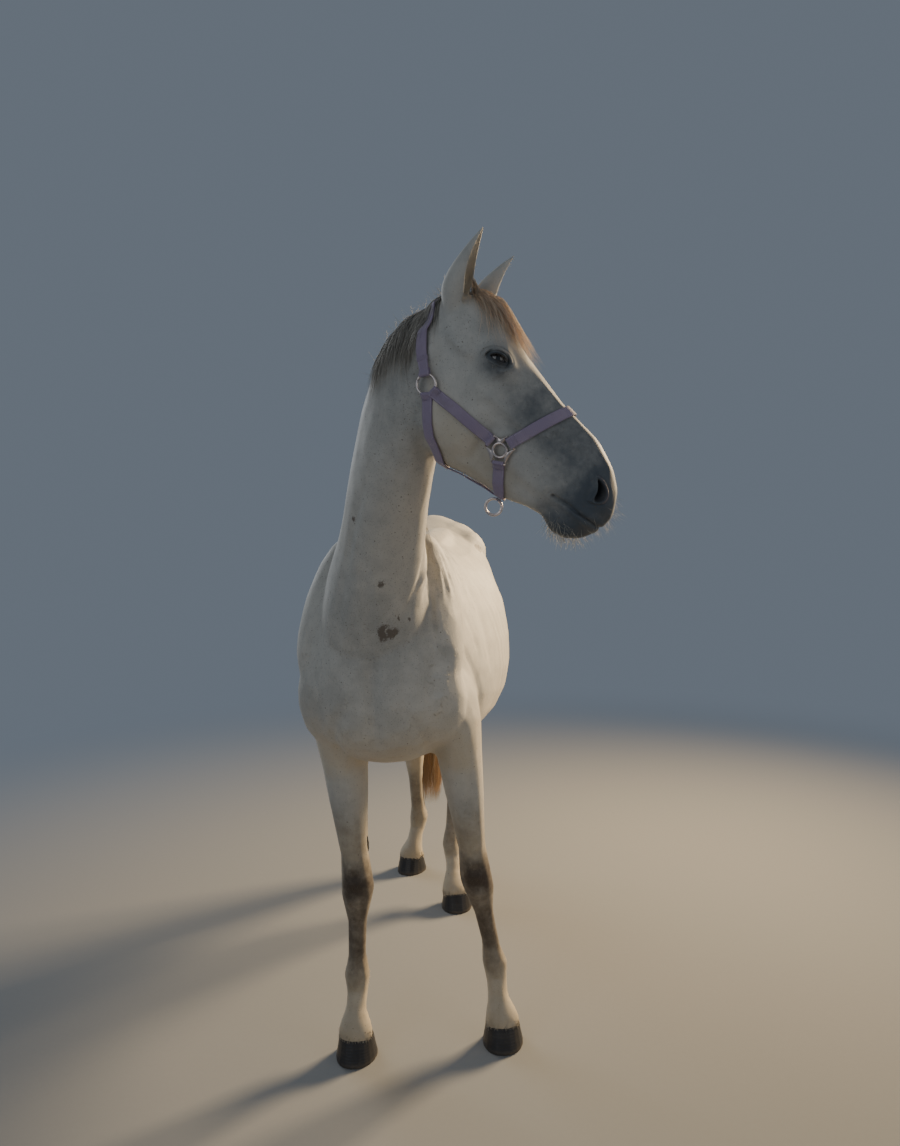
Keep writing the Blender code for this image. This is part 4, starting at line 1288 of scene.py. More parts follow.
def lyingPaths(roots, ways, lengths, rows, rng, fall, lift, wander):
    # Paths of hairs that keep to the skin and rise off it a little towards their tips.
    count = len(roots)
    sway = rng.normal(0, wander, (count, 3))
    phase = rng.uniform(0, 2 * np.pi, (count, 3))
    lifts = lift * rng.uniform(0.12, 1, count) ** 1.3

    def bend(ways, t):
        return ways + np.array(down) * fall + sway + np.sin(phase + t * 7) * wander * 1.5

    def settle(i, t, height, normal):
        wanted = lifts[i] * min(1, t * 2.2) + 0.0006
        return normal * (wanted - height) * (1 if height < wanted else 0.62)

    return bentPaths(roots, ways, lengths, rows, bend, settle, 0.12)


# piece: regions, locks, length, width, rise off the skin in degrees
trunkCoat = (("trunk",), 30000, 0.0095, 0.0023, 1.9)
shortCoat = {
    "coat_trunk_a": trunkCoat,
    "coat_trunk_b": trunkCoat,
    "coat_trunk_c": trunkCoat,
    "coat_neck": (("neck",), 38000, 0.0088, 0.0018, 1.9),
    "coat_head_a": (("head", "ear"), 36000, 0.0055, 0.0013, 3),
    "coat_head_b": (("head", "ear"), 36000, 0.005, 0.0013, 3),
    "coat_legs": (("leg",), 36000, 0.0075, 0.0018, 2.8),
}


def addShortCoat(name, plan, seed, look):
    words, count, length, wide, rise = plan
    weight = coat.isIn(*words) * np.clip(1 - coat.spots[:, 1] * 3, 0, 1)
    for sign in (1, -1):
        weight = weight * (nostrilTerms(coat.places, sign)[0] > 0.001)
        at, gap, inside = eyeTerms(coat.places, sign)[:3]
        weight[at] *= (gap > 0.0045) & ~inside
    if "head" in words:
        weight = weight * (1 + 1.2 * (coat.marks[:, 0] > 0.5))
    found = coat.roots(count, weight + 1e-12, seed)
    rng, places, normals, lie = (found[key] for key in ("rng", "places", "normals", "lie"))
    size = length * rng.uniform(0.75, 1.25, count)
    if "head" in words:
        along = headTerms(places)[0]
        size *= 1 - 0.5 * ease(along, 0.38, 0.52)
        size *= 1 - 0.5 * ease(-along, -0.03, 0.02)
    if "leg" in words:
        size *= 1 - 0.3 * ease(-places[:, 2], -0.5, -0.3)
    angle = np.radians(rise * rng.uniform(0.6, 1.5, count))[:, None]
    turn = rng.normal(0, 0.16, count)[:, None]
    way = lie * np.cos(turn) + np.cross(normals, lie) * np.sin(turn)
    tips = way * np.cos(angle) + normals * np.sin(angle)
    start = places - normals * 0.0004
    paths = np.stack([start, start + tips * size[:, None]], axis=1)
    tones = rng.random((count, 2))
    widths = wide * rng.uniform(0.8, 1.2, count)
    own = found["marks"], found["spots"]
    addLocks(name, look, paths, widths, 0.1, normals, tones, *own)


tuftLook = coatLook("coat_tufts", 0.0004)
for seed, (name, plan) in enumerate(shortCoat.items()):
    addShortCoat(name, plan, 11 + seed, tuftLook)

# root, tip and pale locks
hairLooks = {
    "mane": hairLook("mane", (0.17, 0.16, 0.148), (0.36, 0.32, 0.26), (0.56, 0.5, 0.41)),
    "crest": hairLook("crest", (0.3, 0.26, 0.21), (0.62, 0.52, 0.38), (0.75, 0.68, 0.56)),
    "forelock": hairLook("forelock", (0.34, 0.27, 0.21), (0.82, 0.6, 0.41), (0.9, 0.78, 0.62)),
    "tail": hairLook("tail", (0.26, 0.19, 0.12), (0.55, 0.33, 0.16), (0.72, 0.56, 0.36)),
    "coronet": hairLook("coronet", (0.44, 0.37, 0.27), (0.52, 0.45, 0.34), (0.6, 0.54, 0.44)),
    "whiskers": hairLook("whiskers", (0.4, 0.36, 0.29), (0.7, 0.62, 0.48), (0.8, 0.74, 0.62)),
}


def crestRoots(share, shift):
    # Roots along the crest: their places, ways out, ways ahead and to the left.
    index = share * (len(crest) - 1)
    low = np.floor(index).astype(int)
    high = np.minimum(low + 1, len(crest) - 1)
    part = (index - low)[:, None]
    ways = unit(np.gradient(crest, axis=0))
    spots, ahead = (table[low] * (1 - part) + table[high] * part for table in (crest, ways))
    ahead = unit(ahead)
    roots, outs = np.empty_like(spots), np.empty_like(spots)
    for i, spot in enumerate(spots):
        place, normal = skinTree.find_nearest(Vector(spot) + Vector((0, 0, 0.02)))[:2]
        left = normal.cross(Vector(ahead[i])).normalized()
        place, normal = skinTree.find_nearest(place + left * shift[i])[:2]
        roots[i], outs[i] = place - normal * 0.001, normal
    return roots, outs, ahead, unit(np.cross(outs, ahead))


# share along the crest from and to, side, locks, length, lift, fall
maneParts = {
    "mane_near": (0.7, 0.915, -1, 1350, 0.15, 0.01, 0.55),
    "mane_far": (0.1, 0.985, 1, 1800, 0.235, 0.016, 0.55),
    "mane_low": (0.14, 0.42, 1, 420, 0.33, 0.034, 0.8),
    "mane_crest": (0.12, 0.99, 0, 700, 0.048, 0.02, 0.05),
}


def addMane(name, plan, seed):
    start, finish, lean, count, length, lift, fall = plan
    rng = np.random.default_rng(seed)
    share = rng.uniform(start, finish, count)
    roots, outs, ahead, left = crestRoots(share, rng.normal(lean * 0.004, 0.008, count))
    if lean:
        ways = outs * 0.25 + left * lean * 0.9 - ahead * 0.22 + np.array(down) * 0.35
        ways += rng.normal(0, 0.1, (count, 3))
    else:
        ways = outs * 0.9 - ahead * 0.35 + rng.normal(0, 0.32, (count, 3))
    lengths = length * rng.uniform(0.3, 1.25, count) * (0.7 + 0.35 * ease(share, 0.2, 0.8))
    lengths *= 0.35 + 0.65 * ease(share, 0.1, 0.28)
    if lean:
        look, width = hairLooks["mane"], 0.0016
        paths = lyingPaths(roots, ways, lengths, 11, rng, fall, lift, 0.05)
    else:
        look, width = hairLooks["crest"], 0.00045
        paths = fallPaths(roots, ways, lengths, 8, rng, fall, 0.002, 0.14)
    tones = np.c_[rng.random(count), share]
    addLocks(name, look, paths, width * rng.uniform(0.6, 1.3, count), 0.55, outs, tones)


forelockPlan = {"locks": 1080, "rows": 13, "length": 0.19, "width": 0.0013, "lean": -0.1}


def addForelock():
    plan, rng = forelockPlan, np.random.default_rng(32)
    count = plan["locks"]
    roots, outs = np.empty((count, 3)), np.empty((count, 3))
    across = np.clip(rng.normal(-0.002, 0.018, count), -0.03, 0.032)
    for i in range(count):
        spot = headPoint(rng.uniform(-0.015, 0.05), 0.02, across[i])
        place, normal = skinTree.find_nearest(spot)[:2]
        roots[i], outs[i] = place - normal * 0.001, normal
    lean = plan["lean"] + across * 3
    start = np.array(faceAxis) + outs * 0.2 + np.array(headLeft) * lean[:, None]
    start += rng.normal(0, 0.07, (count, 3))
    lengths = plan["length"] * rng.uniform(0.4, 1.05, count)
    paths = lyingPaths(roots, start, lengths, plan["rows"], rng, 0.1, 0.02, 0.03)
    tones = np.c_[rng.random(count), rng.random(count)]
    widths = plan["width"] * rng.uniform(0.6, 1.3, count)
    addLocks("forelock", hairLooks["forelock"], paths, widths, 0.55, outs, tones)


# the tail's outline: x, y, z, half width, half depth
tailRows = [
    (0, 1.15, 1.41, 0.03, 0.026),
    (0, 1.215, 1.39, 0.032, 0.028),
    (-0.002, 1.262, 1.345, 0.034, 0.03),
    (-0.006, 1.288, 1.27, 0.038, 0.033),
    (-0.014, 1.298, 1.15, 0.046, 0.038),
    (-0.024, 1.3, 0.95, 0.056, 0.044),
    (-0.036, 1.294, 0.72, 0.06, 0.048),
    (-0.05, 1.286, 0.5, 0.055, 0.046),
    (-0.058, 1.28, 0.34, 0.045, 0.04),
    (-0.062, 1.278, 0.25, 0.034, 0.03),
]
tailPlan = {
    "locks": 2900,
    "rows": 10,
    "width": 0.003,
    "curl": 0.0045,
    "dock": 0.7,                                # the dock's width as a share of the tail's
    "dockRows": 44,                             # how many of the smoothed rows have a dock
}


def addTail():
    plan, rng = tailPlan, np.random.default_rng(33)
    count, steps = plan["locks"], plan["rows"]
    rows = smoothRows(tailRows, 8)
    middle = rows[:, :3] - np.array(bodyShift)
    ways = unit(np.gradient(middle, axis=0))
    side = np.tile([1.0, 0, 0], (len(rows), 1))
    out = unit(np.cross(ways, side))
    begin = rng.uniform(0.08, 0.62, count) ** 1.15
    finish = begin + (1 - begin) * rng.uniform(0.3, 1, count) ** 0.6
    angle = rng.uniform(0, 2 * np.pi, count)
    reach = np.sqrt(rng.uniform(0.25, 1.15, count))
    phase, swirl = rng.uniform(0, 2 * np.pi, count), rng.normal(0, 0.5, count)
    tables = (middle, side, out, rows[:, 3:4], rows[:, 4:5])
    paths = np.empty((count, steps, 3))
    for k in range(steps):
        t = k / (steps - 1)
        where = (begin + (finish - begin) * t) * (len(rows) - 1)
        low = np.minimum(np.floor(where).astype(int), len(rows) - 2)
        part = (where - low)[:, None]
        core, across, back, wide, deep = (
            table[low] * (1 - part) + table[low + 1] * part for table in tables
        )
        grow = (0.45 + 0.5 * min(1, t * 2.2)) * reach[:, None]
        turn = (angle + swirl * t + 0.25 * np.sin(5 * t + phase))[:, None]
        curl = np.c_[np.sin(phase + t * 11), np.cos(phase * 1.7 + t * 9), np.zeros(count)]
        spot = core + (across * wide * np.cos(turn) + back * deep * np.sin(turn)) * grow
        paths[:, k] = spot + curl * plan["curl"] * t
    facing = unit(paths[:, 5] - (paths[:, 5] * [0, 0, 1]) - np.r_[middle[20, :2], 0])
    tones = np.c_[rng.random(count), rng.random(count)]
    widths = plan["width"] * rng.uniform(0.6, 1.3, count)
    addLocks("tail_hair", hairLooks["tail"], paths, widths, 0.5, facing, tones)

    # the dock that the hair grows on
    rings = []
    for k in range(0, plan["dockRows"], 3):
        slim = plan["dock"] * (1 - 0.65 * k / plan["dockRows"])
        wide, deep = side[k] * rows[k, 3] * slim, out[k] * rows[k, 4] * slim
        turns = [2 * math.pi * j / 16 for j in range(16)]
        rings.append([middle[k] + wide * math.cos(t) + deep * math.sin(t) for t in turns])
    bm = bmesh.new()
    loft(bm, rings)
    dock = keep(fromShape("tail_dock", bm, coatLook("dock", 0.0008)), "coat", "tail")
    for name, values in (("marks", (0.35, 0.3, 0)), ("spots", (0.3, 0, 0))):
        paint(dock.data, name, np.tile(values, (len(dock.data.vertices), 1)))


# whiskers, beard and other loose hair: locks, rows, length, width, fall, gap off the skin
looseHair = {
    "whiskers": (80, 6, 0.032, 0.00035, 0.04, 0.001),
    "beard": (230, 8, 0.034, 0.00045, 0.14, 0.002),
    "jaw_hair": (220, 6, 0.013, 0.0005, 0.1, 0.001),
    "ear_hair": (550, 6, 0.008, 0.0004, 0.02, 0.001),
    "fetlock_hair": (560, 6, 0.022, 0.0013, 0.2, 0.001),
    "coronet_hair": (2600, 4, 0.013, 0.0011, 0.3, 0.0006),
}
# how much of a hair's way comes from the normal, from the lie of the coat and from chance
hairWays = {
    "ear_hair": (0.25, 0.9, 0.15),
    "fetlock_hair": (0.12, 1, 0.07),
    "coronet_hair": (0.12, 1, 0.07),
}


def looseWeight(name):
    along, out = headTerms(coat.places)[:2]
    head, low, normals = coat.isIn("head"), coat.isIn("leg_lower"), coat.normals
    height = coat.places[:, 2]
    if name == "whiskers":
        return head * ease(along, 0.535, 0.575) * (out < -0.02)
    if name == "beard":
        return head * ease(along, 0.46, 0.51) * ease(-out, 0.145, 0.165)
    if name == "jaw_hair":
        return head * ease(-along, -0.44, -0.3) * ease(-(normals @ np.array(faceOut)), 0.4, 0.9)
    if name == "ear_hair":
        facing = normals @ np.array(faceAxis * 0.75 + faceOut * 0.45)
        return coat.isIn("ear") * ease(facing, 0.45, 0.8)
    if name == "coronet_hair":
        return low * ease(-height, -0.084, -0.07) * ease(-abs(normals[:, 2]), -0.85, -0.5)
    return low * hill(height, 0.195, 0.022) * ease(normals[:, 1], 0.3, 0.9)


def addLooseHair(name, plan, seed):
    count, rows, length, wide, fall, gap = plan
    found = coat.roots(count, looseWeight(name) + 1e-12, seed)
    rng, normals, lie = found["rng"], found["normals"], found["lie"]
    start = normals * 0.8 + lie * 0.5 + rng.normal(0, 0.28, (count, 3))
    if name in hairWays:
        rise, flat, chance = hairWays[name]
        start = normals * rise + lie * flat + rng.normal(0, chance, (count, 3))
    lengths = length * rng.uniform(0.5, 1.25, count)
    roots = found["places"] - normals * 0.0008
    paths = fallPaths(roots, start, lengths, rows, rng, fall, gap, 0.09)
    tones = rng.random((count, 2))
    widths = wide * rng.uniform(0.7, 1.2, count)
    look = hairLooks["coronet" if name == "coronet_hair" else "whiskers"]
    addLocks(name, look, paths, widths, 0.8, normals, tones)


for seed, (name, plan) in enumerate(maneParts.items()):
    addMane(name, plan, 31 + 10 * seed)
addForelock()
addTail()
for seed, (name, plan) in enumerate(looseHair.items()):
    addLooseHair(name, plan, 51 + seed)


eyePlan = {
    "size": 0.985,                              # of the room that the lids leave
    "pupil": (0.0088, 0.0042),                  # half width and half height
    "iris": 0.0135,
    "bulge": 0.0016,
}


def eyeLook():
    look = Look("eye", 0.06, Coat_Weight=1, Coat_Roughness=0.02)
    pupil, iris, rim = look.split("eye")
    rays = look.noise(look.place(), 900, 3, 0.7)
    brown = look.tint(colour(0.014, 0.007, 0.004), colour(0.04, 0.019, 0.009), rays)
    base = look.tint(colour(0.05, 0.036, 0.03), brown, iris.step(0.35, 0.6))
    base = look.tint(base, colour(0.003, 0.003, 0.004), pupil.step(0.4, 0.6))
    look.set("Base Color", look.tint(base, colour(0.01, 0.007, 0.006), rim))
    return look.material


def addEyes():
    look = eyeLook()
    for side, sign in sides.items():
        middle, corner, up, sight = eyeFrame(sign)
        turn = Matrix((corner, sight.cross(corner), sight)).transposed().to_4x4()
        bm = bmesh.new()
        radius = skinPlan["eyeRadius"] * eyePlan["size"]
        bmesh.ops.create_uvsphere(bm, u_segments=64, v_segments=48, radius=radius)
        bm.transform(Matrix.Translation(middle) @ turn)
        eye = fromShape("eyeball_" + side, bm, look)
        places = readPlaces(eye.data)
        away = places - np.array(middle)
        a, b, c = (away @ np.array(way) for way in (corner, up, sight))
        before = (c > 0)[:, None]
        wide = np.sqrt(a**2 + b**2)
        bulge = eyePlan["bulge"] * np.clip(1 - (wide / eyePlan["iris"]) ** 2, 0, 1)
        move(eye.data, places + np.array(sight) * bulge[:, None] * before)
        slit = np.sqrt((a / eyePlan["pupil"][0]) ** 2 + (b / eyePlan["pupil"][1]) ** 2)
        iris = 1 - ease(wide, 0.0125, 0.0155)
        rim = hill(wide, eyePlan["iris"], 0.0016)
        paint(eye.data, "eye", np.c_[1 - ease(slit, 0.85, 1.15), iris, rim] * before)
        keep(eye, "eye", "eye_" + side)
    addLashes()


lashPlan = {
    "locks": 90,                                # for each eye
    "below": 6,                                 # one in so many is on the lower lid
    "long": (0.008, 0.014),
    "short": 0.006,
    "width": 0.0007,
    "rows": 5,
}


def addLashes():
    # Lashes along each upper lid, and a few below.
    plan, rng = lashPlan, np.random.default_rng(71)
    roots, ways, lengths = [], [], []
    reach = skinPlan["eyeRadius"] + skinPlan["lid"]
    for sign in (1, -1):
        middle, corner, up, sight = eyeFrame(sign)
        for k in range(plan["locks"]):
            share = rng.uniform(-0.9, 0.95)
            upper = k % plan["below"] > 0
            a, b = share * lidPlan["half"], float(lidEdge(np.array(share), upper))
            c = math.sqrt(max(reach**2 - a * a - b * b, 0.00004))
            lift = up * (0.0012 if upper else -0.0012) + sight * -0.0008
            roots.append(middle + corner * a + up * b + sight * c + lift)
            way = sight * 0.9 + up * (-0.15 if upper else -0.5) + corner * share * 0.3
            ways.append(way + Vector(rng.normal(0, 0.1, 3)))
            lengths.append(rng.uniform(*plan["long"]) if upper else plan["short"])
    count, roots, ways = len(roots), np.array(roots), unit(np.array(ways))
    lengths = np.array(lengths)[:, None]
    bend = np.array(down) * 0.3
    times = np.linspace(0, 1, plan["rows"])
    paths = np.stack([roots + (ways * t + bend * t * t) * lengths for t in times], 1)
    tones = rng.random((count, 2)) * 0.3
    look = hairLook("lashes", (0.03, 0.025, 0.02), (0.1, 0.08, 0.06), (0.3, 0.27, 0.22))
    addLocks("lashes", look, paths, np.full(count, plan["width"]), 0.8, ways, tones)


addEyes()

hoofPlan = {
    "voxel": 0.0028,
    "smoothTurns": 5,
    "rings": 10,
    "ringRise": 0.0003,
    "line": 0.076,                              # the height of the hairline
    "band": (0.0022, 0.006),                    # the rise and width of the band below it
    "sole": (0.06, 0.053),                      # half length and half width
    "hollow": 0.006,
    "frog": 0.016,
}


def hornLook():
    look = Look("horn", 0.45)
    where = look.place()
    height = look.axis(where, 2)
    streak = look.noise(look.place((260, 260, 14)), 1, 4, 0.6)
    bands = look.noise(look.place((4, 4, 150)), 1)
    cloud = look.noise(where, 30, 3)
    base = look.tint(colour(0.014, 0.014, 0.016), colour(0.036, 0.033, 0.032), streak)
    worn = (bands * cloud).step(0.25, 0.42) * 0.4
    base = look.tint(base, colour(0.06, 0.054, 0.048), worn)
    dust = (height * -45 + 0.75 + cloud * 0.6).step(0.3, 1.1)
    look.set("Base Color", look.tint(base, colour(0.16, 0.13, 0.1), dust * 0.55))
    look.set("Roughness", 0.38 + dust * 0.3 + cloud * 0.1)
    look.bump(streak * 0.6 + bands * 0.5, 0.3, 0.0006)
    return look.material


def addHoof(leg, look):
    hoof = copied("hoof_wall_" + leg, ["hoof_" + leg])
    remesh(hoof, hoofPlan)
    mesh = hoof.data
    low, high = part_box("hoof_" + leg)
    middle = (Vector(low) + Vector(high)) / 2
    toe, side = (np.array(way) for way in legFrame(leg))
    places, normals = readPlaces(mesh), readNormals(mesh)
    height = places[:, 2] + (places - np.array(middle)) @ toe * -0.1
    phase = height / hoofPlan["line"] * hoofPlan["rings"] * 2 * math.pi
    rings = np.sin(phase + np.sin(places[:, 0] * 60) * 0.4) * hoofPlan["ringRise"]
    rise, width = hoofPlan["band"]
    band = rise * hill(height, hoofPlan["line"], width)
    places += normals * ((rings + band) * (1 - abs(normals[:, 2]) ** 4))[:, None]

    # the sole is hollow behind a flat rim, with a frog that runs to a point
    away = places - np.array([middle.x, middle.y, 0])
    ahead, across = away @ toe, abs(away @ side)
    length, width = hoofPlan["sole"]
    reach = np.sqrt((ahead / length) ** 2 + (across / width) ** 2)
    under = (places[:, 2] < 0.006) & (normals[:, 2] < -0.5)
    taper = np.clip(0.75 - ahead / 0.045, 0, 1.4)
    frog = across < hoofPlan["frog"] * taper
    groove = hill(across, 0.018 * taper, 0.004) * (reach < 0.7)
    hollow = hoofPlan["hollow"] * (1 - ease(reach, 0.6, 0.78)) * (1 - frog * 0.7)
    places[under, 2] = (hollow + 0.004 * groove)[under]
    places[:, 2] = np.maximum(places[:, 2], 0)
    move(mesh, places)
    dress(mesh, look)
    keep(hoof, "hoof", "hoof_" + leg)


# height on the leg, and half the size out, across and up
padPlan = {
    "front": (0.6, (0.0035, 0.0075, 0.024)),
    "hind": (0.535, (0.0035, 0.0075, 0.017)),
    "ergot": (0.192, (0.006, 0.0055, 0.007)),
}


def addHornPad(name, place, out, up, sizes, look):
    # A low rough pad of horn that sits on the skin.
    bm = bmesh.new()
    turn = Matrix((out * sizes[0], up.cross(out) * sizes[1], up * sizes[2])).transposed()
    matrix = Matrix.Translation(place) @ turn.to_4x4()
    bmesh.ops.create_icosphere(bm, subdivisions=4, radius=1, matrix=matrix)
    for vert in bm.verts:
        x, y, z = vert.co * 420
        lump = math.sin(x) * math.sin(y * 1.3 + 1) * math.sin(z * 0.9)
        vert.co += out * lump * sizes[0] * 0.28
    keep(fromShape(name, bm, look), "hoof")


def addHornPads(leg, look):
    # The chestnut on the inner side of a leg and the ergot behind the fetlock.
    toe, side = legFrame(leg)
    inner = -side if leg.endswith("left") else side
    height, sizes = padPlan[leg.split("_")[0]]
    upright = Vector((0, 0, 1))
    aim = legMiddle(leg, height) - toe * 0.01
    place, normal = skinTree.ray_cast(aim + inner * 0.12, -inner, 0.3)[:2]
    up = (upright - normal * upright.dot(normal)).normalized()
    addHornPad("chestnut_" + leg, place, normal, up, sizes, look)
    height, sizes = padPlan["ergot"]
    place, normal = skinTree.ray_cast(legMiddle(leg, height) - toe * 0.12, toe, 0.3)[:2]
    addHornPad("ergot_" + leg, place, normal, upright, sizes, look)


horn = hornLook()
for leg in legs:
    addHoof(leg, horn)
for leg in legs:
    addHornPads(leg, horn)
print("hooves: walls, chestnuts and ergots")

collar = {
    "wide": 0.025,
    "thick": 0.0026,
    "gap": 0.0016,
    "step": 0.005,
    "wire": 0.0028,
    "cheekRing": 0.0215,
    "chinRing": 0.018,
    "fittingRing": 0.015,
    "lift": 0.0006,
    "barReach": 0.016,
    "barWide": 0.034,
    "sewn": 0.03,                               # how far from its end a strap is stitched
}
ringSpot = (0.112, -0.196, 0.092)
fittingSpot = (0.313, -0.157, 0.055)
chinSpot = (0.384, -0.232, 0)
crownRow = [ringSpot, (0.04, -0.15, 0.088), (-0.02, -0.105, 0.07), (-0.045, -0.072, 0.03)]
throatRow = [ringSpot, (0.17, -0.245, 0.08), (0.22, -0.276, 0.055), (0.25, -0.29, 0.02)]
cheekRow = [ringSpot, (0.18, -0.18, 0.08), (0.25, -0.168, 0.066), fittingSpot]
noseRow = [fittingSpot, (0.322, -0.1, 0.062), (0.332, -0.045, 0.052), (0.34, -0.006, 0.028)]
jawRow = [fittingSpot, (0.345, -0.195, 0.044), (0.378, -0.226, 0.026)]
linkRow = [(0.254, -0.29, 0), (0.3, -0.262, 0), (0.345, -0.245, 0), chinSpot]
# across and up over the webbing's section, from one underside edge round to the other
webSection = [
    (-0.47, 0), (-0.5, 0.25), (-0.5, 0.75), (-0.47, 1), (-0.3, 1.06), (0, 1.08),
    (0.3, 1.06), (0.47, 1), (0.5, 0.75), (0.5, 0.25), (0.47, 0), (0, 0),
]
weave = {"ribs": 2 * math.pi * 11, "picks": 2 * math.pi * 620, "stitches": 2 * math.pi * 330}


def webbingLook():
    look = Look("webbing", 0.7, Sheen_Weight=0.35, Sheen_Roughness=0.5)
    uv = look.node("ShaderNodeUVMap", {"uv_map": "webbing"})
    along, across = look.axis(uv, 0), look.axis(uv, 1)
    where = look.place()
    ribs = (across * weave["ribs"]).sum("SINE") * 0.5 + 0.5
    picks = along * weave["picks"] + (across * weave["ribs"]).sum("COSINE") * 1.2
    woven = ribs * 0.6 + ribs * (picks.sum("SINE") * 0.5 + 0.5) * 0.5
    fade = look.noise(where, 18, 4, 0.6)
    fuzz = look.noise(where, 1400)
    base = look.tint(colour(0.24, 0.18, 0.265), colour(0.4, 0.32, 0.43), woven * 0.8)
    faded = (fade + fuzz * 0.2).step(0.5, 0.85) * 0.4
    base = look.tint(base, colour(0.42, 0.33, 0.4), faded)
    inset = (across - 0.5).sum("ABSOLUTE")
    base = look.tint(base, colour(0.13, 0.085, 0.15), inset.step(0.44, 0.5) * 0.5)
    grime = look.noise(where, 45, 3).step(0.55, 0.75)
    base = look.tint(base, colour(0.2, 0.165, 0.17), grime * 0.35)
    lines = inset.step(0.355, 0.375) * (1 - inset.step(0.395, 0.415))
    dashes = (along * weave["stitches"]).sum("SINE").step(-0.5, 0.1)
    stitch = lines * look.mark("stitched", "Fac") * dashes
    look.set("Base Color", look.tint(base, colour(0.5, 0.44, 0.53), stitch))
    look.bump(woven + stitch * 1.5 + fuzz * 0.3, 0.6, 0.0007)
    return look.material


def metalLook():
    look = Look("plated", 0.3, Metallic=1)
    wear = look.noise(look.place(), 120, 4, 0.65)
    scratch = look.noise(look.place((700, 90, 700)), 1)
    worn = wear.step(0.45, 0.75)
    look.set("Base Color", look.tint(colour(0.78, 0.68, 0.63), colour(0.48, 0.4, 0.36), worn))
    look.set("Roughness", 0.22 + wear * 0.28)
    look.bump(scratch + wear, 0.15, 0.0003)
    return look.material


def sidePoint(spot, sign):
    along, out, left = spot
    return headPoint(along, out, sign * left)


def mirrored(row, middle=None):
    other = [(a, b, -c) for a, b, c in reversed(row)]
    return row + ([middle] if middle else []) + other


def onCoat(tree, point, gap):
    place, normal = tree.find_nearest(point)[:2]
    return place + normal * gap if (point - place).dot(normal) < gap else point


def layWebbing(tree, spots, clearStart, clearEnd):
    # Frames along a strap on the coat: middle, along, out and side.
    laid = []
    for row in smoothRows([headPoint(*spot) for spot in spots], 24):
        place, normal = tree.find_nearest(Vector(row))[:2]
        laid.append(place + normal * collar["gap"])
    for turn in range(12):
        for i in range(1, len(laid) - 1):
            laid[i] = onCoat(tree, (laid[i - 1] + laid[i + 1]) / 2, collar["gap"])
    first, last = laid[0], laid[-1]
    kept = [p for p in laid if (p - first).length >= clearStart and (p - last).length >= clearEnd]
    table = np.array(kept)
    steps = np.linalg.norm(np.diff(table, axis=0), axis=1)
    lengths = np.concatenate([[0], np.cumsum(steps)])
    count = max(4, round(lengths[-1] / collar["step"]) + 1)
    aims = np.linspace(0, lengths[-1], count)
    path = np.stack([np.interp(aims, lengths, table[:, k]) for k in range(3)], axis=1)
    path = [Vector(point) for point in path]
    normals = [tree.find_nearest(point)[1] for point in path]
    frames = []
    for i, point in enumerate(path):
        ahead = (path[min(i + 1, count - 1)] - path[max(i - 1, 0)]).normalized()
        out = sum(normals[max(i - 4, 0) : i + 5], Vector()).normalized()
        out = (out - ahead * out.dot(ahead)).normalized()
        frames.append((point, ahead, out, ahead.cross(out)))
    return frames


def loopFrames(point, ring, normal, radius):
    # Frames that carry a strap's end over a ring's wire and back under it, all sewn.
    way = ring - point
    way = (way - normal * way.dot(normal)).normalized()
    side = way.cross(normal).normalized()
    middle = ring - way * radius
    wire = collar["wire"]
    frames = []
    for degrees in (100, 65, 30, 0, -30, -65, -90):
        turn = math.radians(degrees)
        outward = normal * math.sin(turn) + way * math.cos(turn)
        frames.append((middle + outward * (wire + 0.0002), outward, side, 1.0))
    frames.append((middle - way * 0.012 - normal * (wire - 0.0006), -normal, side, 1.0))
    return frames


def addStrap(name, tree, spots, clears, ends, look):
    # A strap on the coat, its ends looped round the rings that it is given.
    frames = layWebbing(tree, spots, *clears)
    start, finish = ends
    stations = loopFrames(frames[0][0], *start)[::-1] if start else []
    for k, (point, ahead, out, side) in enumerate(frames):
        reaches = [k] * bool(start) + [len(frames) - 1 - k] * bool(finish)
        sewn = any(reach * collar["step"] < collar["sewn"] for reach in reaches)
        stations.append((point, out, side, float(sewn)))
    if finish:
        stations += loopFrames(frames[-1][0], *finish)
    last, reference, length = stations[0][0], frames[0][3], 0
    rings, lengths = [], []
    for point, out, side, sewn in stations:
        if side.dot(reference) < 0:
            side = -side
        reference = side
        length += (point - last).length
        last = point
        wide, thick = side * collar["wide"], out * collar["thick"]
        rings.append([point + wide * across + thick * rise for across, rise in webSection])
        lengths.append(length)
    bm = bmesh.new()
    loft(bm, rings)
    turn = bm.verts.layers.int["turn"]
    uv = bm.loops.layers.uv.new("webbing")
    stitched = bm.verts.layers.float.new("stitched")
    number = {vert: k // len(webSection) for k, vert in enumerate(bm.verts)}
    for vert, k in number.items():
        vert[stitched] = stations[k][3]
    for face in bm.faces:
        for loop in face.loops:
            across = webSection[loop.vert[turn]][0] + 0.5
            loop[uv].uv = (lengths[number[loop.vert]], across)
    keep(fromShape(name, bm, look), "webbing", name.replace("webbing", "strap"))
    return frames


def circle(normal, count):
    # Ways that turn about the normal.
    side = normal.orthogonal().normalized()
    return [Matrix.Rotation(2 * math.pi * k / count, 4, normal) @ side for k in range(count)]


def restOnCoat(tree, spot, radius, thick):
    # Where the middle of a flat round piece comes to rest on the coat, and its direction.
    place, normal = tree.find_nearest(spot)[:2]
    normals = [tree.find_nearest(place + way * radius)[1] for way in circle(normal, 24)]
    normal = sum(normals, normal).normalized()
    lift = thick
    for share in (0.6, 0.8, 1):
        for way in circle(normal, 36):
            rim = place + way * radius * share
            hit = tree.ray_cast(rim + normal * 0.05, -normal, 0.1)[0]
            if hit:
                lift = max(lift, (hit - rim).dot(normal) + thick)
    return place + normal * lift, normal


